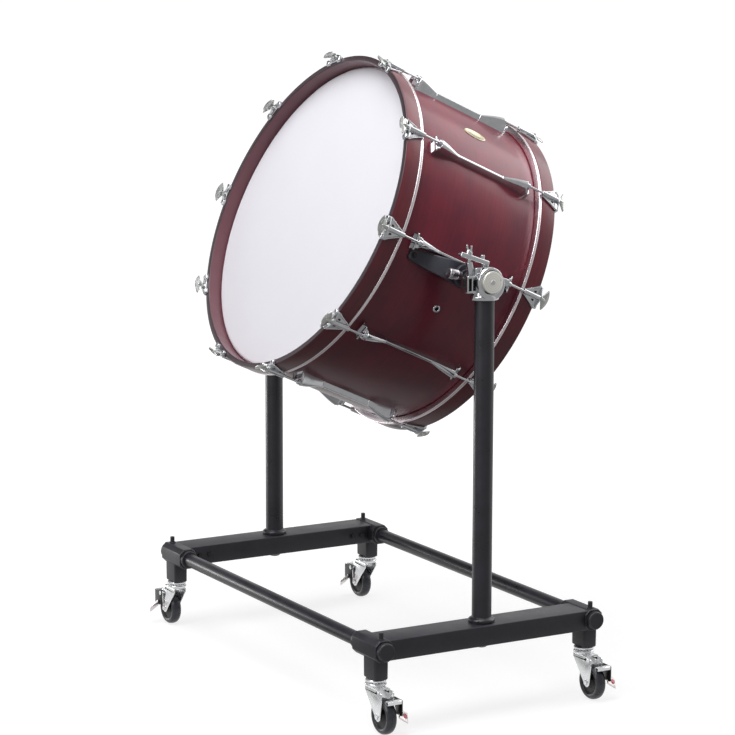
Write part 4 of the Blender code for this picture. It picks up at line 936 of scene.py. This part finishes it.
class BASSDRUM_OT_tilt_clamps(bpy.types.Operator):
    """Post clamps: housing, lathe-faced cap, slotted block, swing bolt, bar and wing nut"""

    bl_idname = "bassdrum.tilt_clamps"
    bl_label = "Tilt clamps"

    def execute(self, context):
        post = context.scene.stand_sizes.post_x
        high = 0.576
        chrome = merged("clamp", *self.housing(post, 0.5085, high), *self.fittings(post), self.lip(high))
        # A black block inside the ear's slot: painted shade in the slot's recess
        shade_in_slot = block((post - 0.0066, -0.056, -0.019), (post + 0.0066, -0.0385, 0.008), 0.0008)
        shade, cap, screw = along(
            "x",
            (0, 0),
            (high - 0.0052, high - 0.003, 0.0286, 0.0002, 48),
            (high - 0.004, high + 0.0076, 0.0268, 0.0012, 64),
            (high + 0.007, high + 0.0092, 0.006, 0.0012),
        )
        cut(cap, *along("x", (0.0215, 0.0045), (high + 0.004, high + 0.012, 0.0016, 0.0001, 20)))
        cut(screw, block((high + 0.008, -0.007, -0.0006), (high + 0.012, 0.007, 0.0006), 0.0001))
        nut = self.wing_nut()
        for side, sign in SIDES:
            pieces = (
                (chrome, "_clamp_chrome", "chrome", "chrome", side + "_tilt_clamp"),
                (shade, "_cap_shadow_gap", "black", "black_casting"),
                (shade_in_slot, "_slot_lining", "black", "black_casting"),
                (cap, "_clamp_cap", "cap", "chrome"),
                (screw, "_cap_screw", "bright", "chrome"),
            )
            laid(side, "stand", Matrix.Translation(PIVOT) @ Matrix.Diagonal((sign, 1, 1, 1)), pieces)
            where = Matrix.Translation(PIVOT + Vector((sign * post, BOLT_Y, NUT_SEAT)))
            wing = side + "_wing_nut"
            laid(wing, wing, where, ((nut, "_bright", "bright", "chrome", wing),))
        discard(chrome, shade, shade_in_slot, cap, screw, nut)
        return {"FINISHED"}

    def housing(self, post, low, high):
        """The round body along the tilt axis and the neck on the post's top."""
        wide, rim, recess = 0.0345, 0.0288, high - 0.005
        belly = 0.0365
        profile = [(0.0, low), (wide, low), (belly, low + 0.003), (belly, high - 0.008)]
        profile += [(wide, high - 0.0015), (0.03, high), (rim, high - 0.0018), (rim, recess), (0.0, recess)]
        body = revolved("housing", profile, 0.0012, 3, 64)
        body.data.transform(ALONG_X)
        skirt = [(0.0, -0.0455), (0.0295, -0.0455), (0.0315, -0.044), (0.0318, -0.037), (0.03, -0.034)]
        skirt += [(0.0285, -0.03), (0.0255, -0.015), (0.025, 0.0), (0.0, 0.0)]
        neck = revolved("neck", skirt, 0.0016, 3, 56)
        neck.data.transform(Matrix.Translation((post, 0, 0)) @ Matrix.Diagonal((1.0, 1.16, 1.0, 1.0)))
        return body, neck

    def fittings(self, post):
        """The slotted ear, jaw, sloping strap, riser, knob, and the swing bolt, its link and washer."""
        ear = block((post - 0.017, -0.058, -0.026), (post + 0.017, -0.014, 0.017), 0.003, 4)
        slot = block((post - 0.007, -0.07, -0.014), (post + 0.007, -0.0375, 0.03), 0.0006)
        windows = [
            block((post + 0.004, low_y, -0.02), (post + 0.03, low_y + 0.0085, 0.011), 0.0012)
            for low_y in (-0.0555, -0.0438)
        ]
        cut(ear, slot, *windows)
        jaw = block((post - 0.013, -0.033, 0.0), (post + 0.013, -0.004, 0.035), 0.004, 4)
        strap = block((-0.0085, -0.042, -0.0068), (0.0085, 0.042, 0.0052), 0.003, 4)
        cut(strap, block((-0.0036, -0.036, 0.0034), (0.0036, 0.02, 0.009), 0.001))
        link = block((-0.0062, -0.0074, -0.0245), (0.0062, 0.0074, 0.0245), 0.0036, 4)
        for piece, y, z, lean in ((strap, -0.031, 0.0565, -19.6), (link, -0.0405, 0.0255, 11)):
            turn = Matrix.Rotation(math.radians(lean), 4, "X")
            piece.data.transform(Matrix.Translation((post, y, z)) @ turn)
        riser = block((post - 0.0055, -0.008, 0.026), (post + 0.0055, 0.008, 0.05), 0.002)
        knob = along("z", (post, -0.007), (0.048, 0.0635, 0.0052, 0.0016))
        shank, seat = (0.044, 0.0798, 0.004, 0.0006, 24), (0.0655, NUT_SEAT - 0.0002, 0.0085, 0.0005)
        bolt, washer = along("z", (post, BOLT_Y), shank, seat)
        return ear, jaw, strap, riser, *knob, bolt, link, washer

    def lip(self, high):
        """A ring round the cap, set a little low."""
        inner, outer = 0.024, 0.0372
        foot = high - 0.013
        profile = [(inner, foot), (0.0345, foot), (outer, high - 0.01), (outer, high - 0.004)]
        profile += [(0.035, high - 0.0012), (inner, high - 0.0012)]
        lip = revolved("lip", profile, 0.0022, 4, 64, ring=True)
        lip.data.transform(Matrix.Translation((0, 0.003, -0.0085)) @ ALONG_X)
        return lip

    def wing_nut(self):
        bore, hub_top = 0.0043, 0.0075
        hub = [(bore, 0.0), (0.0085, 0.0), (0.0066, hub_top), (bore, hub_top)]
        outline = [(0.0045, 0.003), (0.0098, 0.003), (0.0122, 0.0165), (0.0108, 0.0194), (0.0082, 0.018)]
        wings = []
        for side in (-1, 1):
            wing = eased([(side * x, z) for x, z in outline], 0.0014, 4)
            wings.append(plate(wing, 0.004, 0.0014, UPRIGHT))
        return merged("wing_nut", revolved("hub", hub, 0.0007, 3, 32, ring=True), *wings)


class BASSDRUM_OT_posts(bpy.types.Operator):
    """Posts with their base collars, studs and nuts"""

    bl_idname = "bassdrum.posts"
    bl_label = "Posts"

    def execute(self, context):
        sizes = context.scene.stand_sizes
        radius = sizes.post_radius
        seat = sizes.beam_top + 0.0002
        top = PIVOT.z - 0.031
        bottom = sizes.beam_top - sizes.beam_depth
        stud, nut, collar, end = 0.009, 0.02, 0.033, bottom - 0.013
        profile = [(0.0, top), (radius, top), (radius, seat + 0.013), (radius + 0.0015, seat + 0.0125)]
        profile += [(0.031, seat + 0.0095), (collar, seat + 0.007), (collar, seat)]
        profile += [(stud, seat), (stud, bottom)]
        profile += [(nut, bottom - 0.0003), (nut, bottom - 0.006), (0.012, end), (0.0, end)]
        post = revolved("post", profile, 0.0012, 3, 96)
        for side, sign in SIDES:
            place = STAND @ Matrix.Translation((sign * sizes.post_x, 0, 0))
            node = side + "_post"
            laid(node, "stand", place, ((post, "_tube", "tube", "black_enamel", node),))
        discard(post)
        return {"FINISHED"}


class BASSDRUM_OT_base(bpy.types.Operator):
    """Base beams, corner castings with caster legs and pegs, cross tubes and bolts"""

    bl_idname = "bassdrum.base"
    bl_label = "Base"

    def execute(self, context):
        sizes = context.scene.stand_sizes
        top, axis, cross_y = sizes.beam_top, sizes.cross_height, sizes.cross_y
        inside, outside = sizes.post_x - sizes.beam_width / 2, sizes.post_x + sizes.beam_width / 2
        run = cross_y - 0.0125
        beam = block((inside, -run, top - sizes.beam_depth), (outside, run, top), 0.0026, 3)
        corners = [part for y in (-cross_y, cross_y) for part in self.corner(sizes.swivel_x, y, axis)]
        casting = merged("castings", *corners)
        washer, hexagon = (0.0005, -0.0016, 0.0085, 0.0004, 28), (-0.0012, -0.0066, 0.0068, 0.0009, 6, 0.0066)
        bolt = merged("bolt", *along("x", (0, 0), washer, hexagon))
        marks = bpy.data.meshes.new("bolt_places")
        marks.from_pydata([(inside, y, 0.205) for y in (-0.256, -0.226, 0.226, 0.256)], [], [])
        copying = copies_at_places()
        for side, sign in SIDES:
            turn = STAND @ half_turned(sign, "Z")
            bolts = new_object("bolts", marks.copy())
            repeated(bolts, copying, Shape=bolt, Finish=MATERIALS["black"])
            pieces = (
                (beam, "_beam_tube", "casting", "black_enamel", side + "_base_beam"),
                (casting, "_corner_castings", "casting", "black_enamel"),
                (bolts, "_beam_bolts", "black", "black_enamel"),
            )
            laid(side, "stand", turn, pieces)
            discard(bolts)
        tube_end = 0.4935
        run = (-tube_end, tube_end, sizes.cross_radius, 0.001, 72)
        for end, way in ENDS:
            (tube,) = along("x", (PIVOT.y + way * cross_y, axis), run)
            tube.name = end + "_cross_bar"
            finished(tube, "tube", "stand", (end + "_cross_tube",))
        discard(beam, casting, bolt)
        return {"FINISHED"}

    def corner(self, x, y, axis):
        """A corner casting with its cross tube's collar, end disc, caster leg and peg."""
        octagon = eased(eased([(a * 0.025, b * 0.027) for a, b in CORNERS], 0.0115, 1), 0.0016, 2)
        rings = []
        for end, grow in ((0.476, 0.93), (0.478, 1.0), (0.59, 1.0), (0.5925, 0.94)):
            rings.append([(end, y + a * grow, axis + b * grow) for a, b in octagon])
        parts = [loft("corner", rings), *along("x", (y, axis), (0.465, 0.482, 0.0235, 0.002, 48))]
        rim, disc_top = 0.0228, 0.0128
        disc = [(0.0, 0.0), (rim, 0.0), (rim, 0.011), (0.0205, 0.014), (0.0185, disc_top), (0.0, disc_top)]
        boss = revolved("boss", disc, 0.0012, 3, 56)
        boss.data.transform(turned_to((0.591, y, axis), (1, 0, 0)))
        ring = eased([(x + a * 0.03, y + b * 0.0192) for a, b in CORNERS], 0.0075, 4)
        centre = Vector((x, y))
        rings = []
        for z, grow in ((0.1302, 0.9), (0.1312, 0.965), (0.1335, 0.985), (0.17, 1.0), (0.186, 1.0)):
            rings.append([(*(centre + (Vector(p) - centre) * grow), z) for p in ring])
        pin, collar = (axis, axis + 0.044, 0.006, 0.0014), (axis + 0.025, axis + 0.0292, 0.0085, 0.0008)
        return [*parts, boss, loft("leg", rings), *along("z", (x + 0.025, y), pin, collar)]


class BASSDRUM_OT_casters(bpy.types.Operator):
    """Casters: fork with ball races, wheel, and brake rocker with pad and pedal"""

    bl_idname = "bassdrum.casters"
    bl_label = "Casters"

    def execute(self, context):
        sizes = context.scene.stand_sizes
        fork = self.fork(sizes)
        balls = self.balls()
        wheel, core = self.wheel(sizes)
        rocker, lever, pad, pedal, dot = self.brake(sizes)
        for side, sign in SIDES:
            for end, way in ENDS:
                name = f"{end}_{side}_caster"
                swivel = Matrix.Translation((sign * sizes.swivel_x, way * sizes.cross_y, 0))
                place = STAND @ swivel @ half_turned(sign, "Z")
                axle = place @ Matrix.Translation((sizes.trail, 0, sizes.wheel_radius)) @ UPRIGHT
                on_fork = (
                    (fork, "_yoke", "zinc", "zinc_plate", name + "_fork"),
                    (balls, "_race_balls", "bright", "zinc_plate"),
                )
                on_wheel = (
                    (wheel, "_tyre", "tread", "caster_rubber", name + "_wheel"),
                    (core, "_core", "black", "caster_rubber"),
                )
                on_brake = (
                    (rocker, "_rocker", "zinc", "zinc_plate", name + "_brake"),
                    (lever, "_brake_lever", "lever", "zinc_plate"),
                    (pad, "_brake_pad", "black", "caster_rubber"),
                    (pedal, "_pedal", "white", "zinc_plate"),
                    (dot, "_pedal_mark", "red", "zinc_plate"),
                )
                laid(name, name + "_fork", place, on_fork)
                laid(name, name + "_wheel", axle, on_wheel)
                laid(name, name + "_brake", place, on_brake)
        discard(fork, balls, wheel, core, rocker, lever, pad, pedal, dot)
        return {"FINISHED"}

    def fork(self, sizes):
        """A yoke about its swivel axis, the wheel trailing to +X."""
        inside, outside, foot = 0.0153, 0.0183, 0.1
        crown_top, crown_low = 0.1127, 0.1092
        bore = 0.006
        upper = [(bore, 0.1297), (0.0238, 0.1297), (0.0262, 0.1276)]
        upper += [(0.0256, 0.1242), (0.0225, 0.1232), (bore, 0.1232)]
        lower = [(bore, 0.1205), (0.0232, 0.1205), (0.0264, 0.1188)]
        lower += [(0.0268, 0.1158), (0.0245, 0.1125), (bore, 0.1125)]
        parts = [
            revolved("race", upper, 0.0008, 3, 56, ring=True),
            revolved("race", lower, 0.001, 3, 56, ring=True),
            *along("z", (0, 0), (crown_low, 0.1515, 0.006, 0.0008), (0.119, 0.124, 0.0175, 0.0004, 40)),
        ]
        bend = 0.005
        quarter = [math.pi / 2 * i / 6 for i in range(7)]
        corner, spring = outside - bend, crown_top - bend
        arch = [(corner + bend * math.cos(a), spring + bend * math.sin(a)) for a in quarter]
        arch += [(-corner - bend * math.sin(a), spring + bend * math.cos(a)) for a in quarter]
        thin = [(y * inside / outside, crown_low - (crown_top - z) * 0.4) for y, z in reversed(arch)]
        strip = [(outside, foot), *arch, (-outside, foot), (-inside, foot), *thin, (inside, foot)]
        parts.append(loft("crown", [[(x, y, z) for y, z in strip] for x in (-0.02, 0.038)]))
        outline = [(-0.02, 0.102), (-0.02, foot)]
        eye = [math.radians(205 + 147 * i / 12) for i in range(13)]
        outline += [(0.04 + 0.012 * math.cos(a), 0.045 + 0.012 * math.sin(a)) for a in eye]
        outline += [(0.0575, 0.08), (0.058, 0.104), (0.052, 0.108), (0.038, 0.108), (0.03, 0.104)]
        axle = (sizes.trail, sizes.wheel_radius)
        washer, nut = outside + 0.0011, outside + 0.0046
        for side in (-1, 1):
            shift = Matrix.Translation((0, side * (inside + outside) / 2, 0))
            parts.append(plate(eased(outline, 0.0016, 2), outside - inside, 0.0008, shift @ UPRIGHT))
            flat = (side * outside, side * washer, 0.0084, 0.0003)
            hexagon = (side * washer, side * nut, 0.0071, 0.0009, 6)
            parts += along("y", axle, flat, hexagon)
        parts += along("y", axle, (-outside - 0.005, outside + 0.005, 0.0038, 0.0006, 24))
        return merged("fork", *parts)

    def balls(self):
        shape = bmesh.new()
        bmesh.ops.create_uvsphere(shape, u_segments=12, v_segments=8, radius=0.0024)
        bmesh.ops.translate(shape, verts=shape.verts, vec=(0.0212, 0, 0.1219))
        return repeated(from_bmesh("balls", shape), copies_round_axis(), Count=18, Finish=MATERIALS["bright"])

    def wheel(self, sizes):
        """Tyre and core about Z."""
        rim, half = sizes.wheel_radius, 0.0135
        web, seat = half - 0.0052, 0.0292
        tyre = [(0.029, half - 0.0022), (0.035, half), (rim - 0.006, half), (rim - 0.0012, web), (rim, 0.0)]
        core = [(0.0044, half), (0.0105, half), (0.0125, half - 0.0022), (0.015, web), (0.0262, web)]
        core += [(seat, half - 0.0024), (seat, 0.0)]
        made = []
        for name, upper, edge, steps, sides in (("tyre", tyre, 0.0026, 3, 80), ("core", core, 0.0008, 2, 64)):
            profile = upper + [(r, -z) for r, z in reversed(upper[:-1])]
            made.append(revolved(name, profile, edge, steps, sides, ring=True))
        return made

    def brake(self, sizes):
        """Rocker, lever, pad, pedal and its mark, in the fork's frame."""
        side_in, side_out, shoe_side = 0.0238, 0.0268, 0.0135
        lever = [(0.043, 0.092), (0.043, 0.08), (0.054, 0.061), (0.054, 0.0512), (0.0838, 0.0512)]
        lever = eased(lever + [(0.084, 0.078), (0.084, 0.092)], 0.003, 4)
        shift = Matrix.Translation((0, (side_in + side_out) / 2, 0))
        lever = plate(lever, side_out - side_in, 0.0007, shift @ UPRIGHT)
        pin = (0.0158, side_out + 0.0022, 0.0029, 0.0004, 24)
        boss = (side_out - 0.0002, side_out + 0.0012, 0.0058, 0.0004, 28)
        over = [(0.0702, 0.086), (0.0702, 0.0895), (0.0725, 0.092)]
        over += [(0.0815, 0.092), (0.0838, 0.09), (0.0838, 0.083)]
        under = [(0.0822, 0.083), (0.0822, 0.0888), (0.0808, 0.0902)]
        under += [(0.073, 0.0902), (0.0716, 0.0888), (0.0716, 0.086)]
        across = Matrix.Translation((0, (side_out - shoe_side) / 2, 0))
        shoe = plate(over + under, side_out + shoe_side, 0.0003, across @ UPRIGHT)
        rocker = merged("rocker", *along("y", (0.05, 0.086), pin, boss), shoe)
        pad = block((0.0718, -0.0128, 0.0842), (0.08, 0.0128, 0.0905), 0.0012)
        return rocker, lever, pad, *self.pedal(side_in, sizes.wheel_radius)

    def pedal(self, side_in, low):
        """A tab that slopes down and outward, with a round mark on it, twisted about its slope."""
        root, tip, x = side_in + 0.0008, side_in + 0.0262, 0.069
        tab = [(root, low + 0.013), (root, low + 0.0066), (tip, low - 0.0098), (tip, low - 0.005)]
        pedal = plate(eased(tab, 0.0016, 3), 0.0294, 0.0012, across_x(x))
        slope = Vector((0.0254, -0.018)).normalized()
        centre = Vector((x, side_in + 0.019, low + 0.0012))
        lift = Vector((0.0, -slope.y, slope.x)) * 0.0006
        dot = bar(centre - lift, centre + lift, 0.0066, 0.0003)
        turn = Matrix.Rotation(PEDAL_TWIST, 4, Vector((0.0, slope.x, slope.y)))
        twist = Matrix.Translation(centre) @ turn @ Matrix.Translation(-centre)
        pedal.data.transform(twist)
        dot.data.transform(twist)
        return pedal, dot


# Stage

WHITE = (1.0, 1.0, 1.0, 1.0)
WORLD_COLOUR = (0.96, 0.97, 1.0, 1.0)
WORLD_DIFFUSE = 0.14
FLOOR_BOUNCE = (0.1, 0.1, 0.11, 1.0)
FLOOR_LIT = (0.3, 0.3, 0.3, 1.0)
# Under the pieces by this much, so that no wheel's foot meets it
FLOOR_DROP = 0.0005
FLOOR_SIZE = 90.0
# Runs as (low, high, start, end): what is seen of the room by the cosine from a direction, and of the
# floor by metres from its middle
ROOM_WAY, ROOM = (0.8, -0.6, 0.0), (0.75, 0.4, -0.2, 0.3, "SMOOTHSTEP")
FLAG_WAY, FLAG = (-0.94, -0.34, 0.0), (0.0, 0.9, 0.55, 0.8, "SMOOTHSTEP")
FLAG_HEIGHT = (0.0, 1.0, 0.18, 0.4, "SMOOTHSTEP")
FLOOR_GLOW = (0.8, 1.0, 1.0, 2.6)
# In mirror-like surfaces the floor near its middle is darker: painted shade under the drum
PAINTED_SHADE_UNDER_DRUM = (0.55, 1.0, 0.4, 1.1)
# Low, start and end of the run along the ray, whose high is what the floor shows far off
CLOSE_BY = (0.9, 0.25, 0.55)
# name, place, aim, width, height, watts, whether mirror-like surfaces show it
LAMPS = (
    ("overhead softbox", (0.4, -0.9, 4.0), (0.0, 0.0, 1.0), 3.0, 3.0, 119.0, True),
    ("rear softbox", (0.0, 4.9, 3.5), (0.0, 0.0, 1.2), 4.0, 3.6, 82.0, True),
    ("front softbox", (1.0, -5.0, 3.2), (0.0, 0.0, 1.1), 2.5, 2.5, 85.0, True),
    ("left strip", (-4.3, -2.2, 0.35), (0.0, 0.0, 0.35), 1.8, 0.7, 22.0, True),
    ("rear low fill", (0.0, 4.2, 0.45), (0.0, 0.0, 1.15), 2.6, 0.8, 46.0, False),
)
# The camera solved on the photograph: degrees round, up and rolled, place, and focal length in pixels
CAMERA_TURN = (60.23, 9.68, 0.14)
CAMERA_PLACE = (6.056, -3.49, 1.973)
FOCAL_PIXELS, FRAME_PIXELS, SENSOR = 2727.0, 735.0, 36.0


class BASSDRUM_OT_stage(bpy.types.Operator):
    """Pale floor, soft lamps, world and camera"""

    bl_idname = "bassdrum.stage"
    bl_label = "Stage"

    def execute(self, context):
        scene = context.scene
        scene.view_settings.view_transform = "Standard"
        self.world(scene)
        self.floor()
        for name, place, aim, width, height, power, mirrored_too in LAMPS:
            data = bpy.data.lights.new(name, "AREA")
            data.shape = "RECTANGLE"
            data.size = width
            data.size_y = height
            data.energy = power
            lamp = bpy.data.objects.new(name, data)
            lamp.visible_glossy = mirrored_too
            lamp.visible_camera = False
            scene.collection.objects.link(lamp)
            way = Vector(aim) - Vector(place)
            lamp.matrix_world = Matrix.Translation(place) @ way.to_track_quat("-Z", "Y").to_matrix().to_4x4()
        self.camera(scene)
        return {"FINISHED"}

    def toward(self, tree, way, aim, run):
        """A run by how far one direction turns toward another."""
        cosine = add(tree, "ShaderNodeVectorMath", {0: way, 1: aim}, operation="DOT_PRODUCT")
        return between(tree, cosine.outputs["Value"], *run)

    def left_flag(self, tree, way):
        """A black flag on the left that leaves a bright strip just over the floor."""
        height = add(tree, "ShaderNodeSeparateXYZ", {0: way}).outputs["Z"]
        flag = {0: self.toward(tree, way, FLAG_WAY, FLAG), 1: between(tree, height, *FLAG_HEIGHT)}
        dark = add(tree, "ShaderNodeMath", flag, operation="MULTIPLY")
        return add(tree, "ShaderNodeMath", {0: 1.0, 1: dark}, operation="SUBTRACT")

    def by_ray(self, tree, path, plain, mirror, seen):
        """One shader for soft light, one for mirror-like surfaces and one for the camera."""
        rays = {0: path["Is Camera Ray"], 1: path["Is Transmission Ray"]}
        camera = add(tree, "ShaderNodeMath", rays, operation="MAXIMUM")
        first = add(tree, "ShaderNodeMixShader", {0: path["Is Glossy Ray"], 1: plain, 2: mirror})
        return add(tree, "ShaderNodeMixShader", {0: camera, 1: first, 2: seen})

    def world(self, scene):
        """A dim sky for soft light, a white one for the camera, and for mirror-like surfaces a room that
        is darker toward the camera's side than behind the drum."""
        world = bpy.data.worlds.new("Studio")
        world.use_nodes = True
        scene.world = world
        tree = world.node_tree
        tree.nodes.clear()
        path = add(tree, "ShaderNodeLightPath").outputs
        plain = add(tree, "ShaderNodeBackground", {"Color": WORLD_COLOUR, "Strength": WORLD_DIFFUSE})
        way = add(tree, "ShaderNodeTexCoord").outputs["Generated"]
        room = {0: self.toward(tree, way, ROOM_WAY, ROOM), 1: self.left_flag(tree, way)}
        strength = add(tree, "ShaderNodeMath", room, operation="MULTIPLY")
        mirror = add(tree, "ShaderNodeBackground", {"Color": WHITE, "Strength": strength})
        white = add(tree, "ShaderNodeBackground", {"Color": WHITE, "Strength": 1.0})
        add(tree, "ShaderNodeOutputWorld", {"Surface": self.by_ray(tree, path, plain, mirror, white)})

    def floor(self):
        """Matte and pale to the camera, and in mirror-like surfaces as bright as the room over it, with
        painted shade: darker near its middle, under the drum.
        """
        shape = bmesh.new()
        bmesh.ops.create_grid(shape, x_segments=1, y_segments=1, size=FLOOR_SIZE)
        floor = from_bmesh("floor", shape)
        material = bpy.data.materials.new("pale studio floor")
        material.use_nodes = True
        tree = material.node_tree
        tree.nodes.clear()
        path = add(tree, "ShaderNodeLightPath").outputs
        matte = add(tree, "ShaderNodeBsdfDiffuse", {"Color": FLOOR_BOUNCE})
        lit = add(tree, "ShaderNodeBsdfDiffuse", {"Color": FLOOR_LIT})
        place = add(tree, "ShaderNodeTexCoord").outputs["Object"]
        away = add(tree, "ShaderNodeVectorMath", {0: place}, operation="LENGTH").outputs["Value"]
        bright = between(tree, away, *FLOOR_GLOW)
        glow = add(tree, "ShaderNodeEmission", {"Color": WHITE, "Strength": bright})
        seen = add(tree, "ShaderNodeAddShader", {0: lit, 1: glow})
        where = add(tree, "ShaderNodeVectorMath", {0: place}, operation="NORMALIZE").outputs[0]
        # Darker near the middle in mirror-like surfaces: painted shade under the drum
        room = {0: self.toward(tree, where, ROOM_WAY, ROOM), 1: between(tree, away, *PAINTED_SHADE_UNDER_DRUM)}
        far_off = add(tree, "ShaderNodeMath", room, operation="MULTIPLY")
        near, start, end = CLOSE_BY
        strength = between(tree, path["Ray Length"], near, far_off, start, end)
        mirror = add(tree, "ShaderNodeEmission", {"Color": WHITE, "Strength": strength})
        add(tree, "ShaderNodeOutputMaterial", {"Surface": self.by_ray(tree, path, matte, mirror, seen)})
        floor.data.materials.append(material)
        floor.location.z = -FLOOR_DROP

    def camera(self, scene):
        azimuth, pitch, roll = (math.radians(angle) for angle in CAMERA_TURN)
        level = math.cos(pitch)
        back = Vector((math.sin(azimuth) * level, -math.cos(azimuth) * level, math.sin(pitch)))
        right = Vector((math.cos(azimuth), math.sin(azimuth), 0.0))
        up = back.cross(right)
        data = bpy.data.cameras.new("camera")
        data.sensor_width = SENSOR
        data.lens = SENSOR * FOCAL_PIXELS / FRAME_PIXELS
        data.clip_end = 100.0
        camera = bpy.data.objects.new("camera", data)
        scene.collection.objects.link(camera)
        over, aside = math.cos(roll), math.sin(roll)
        axes = Matrix((right * over + up * aside, up * over - right * aside, back)).transposed()
        camera.matrix_world = Matrix.Translation(CAMERA_PLACE) @ axes.to_4x4()
        scene.camera = camera


class BASSDRUM_PT_panel(bpy.types.Panel):
    """Buttons for each group of pieces"""

    bl_idname = "BASSDRUM_PT_panel"
    bl_label = "Concert Bass Drum"
    bl_space_type = "VIEW_3D"
    bl_region_type = "UI"
    bl_category = "Bass Drum"

    def draw(self, context):
        for group in (context.scene.drum_sizes, context.scene.stand_sizes, context.scene.drum_finishes):
            box = self.layout.box()
            for name in group.bl_rna.properties.keys():
                if name not in ("rna_type", "name"):
                    box.prop(group, name)
        for operator in OPERATORS:
            self.layout.operator(operator.bl_idname)


OPERATORS = (
    BASSDRUM_OT_shell,
    BASSDRUM_OT_heads,
    BASSDRUM_OT_hoops,
    BASSDRUM_OT_tension_rods,
    BASSDRUM_OT_lugs,
    BASSDRUM_OT_side_brackets,
    BASSDRUM_OT_tilt_clamps,
    BASSDRUM_OT_posts,
    BASSDRUM_OT_base,
    BASSDRUM_OT_casters,
    BASSDRUM_OT_stage,
)
GROUPS = (("drum_sizes", DrumSizes), ("stand_sizes", StandSizes), ("drum_finishes", Finishes))


def register():
    for _, group in GROUPS:
        bpy.utils.register_class(group)
    for name, group in GROUPS:
        setattr(bpy.types.Scene, name, bpy.props.PointerProperty(type=group))
    for operator in OPERATORS:
        bpy.utils.register_class(operator)
    bpy.utils.register_class(BASSDRUM_PT_panel)


def unregister():
    bpy.utils.unregister_class(BASSDRUM_PT_panel)
    for operator in reversed(OPERATORS):
        bpy.utils.unregister_class(operator)
    for name, group in GROUPS:
        delattr(bpy.types.Scene, name)
        bpy.utils.unregister_class(group)


def main():
    register()
    make_finishes(bpy.context.scene.drum_finishes)
    for operator in OPERATORS:
        _, name = operator.bl_idname.split(".")
        getattr(bpy.ops.bassdrum, name)()


if __name__ == "__main__":
    main()
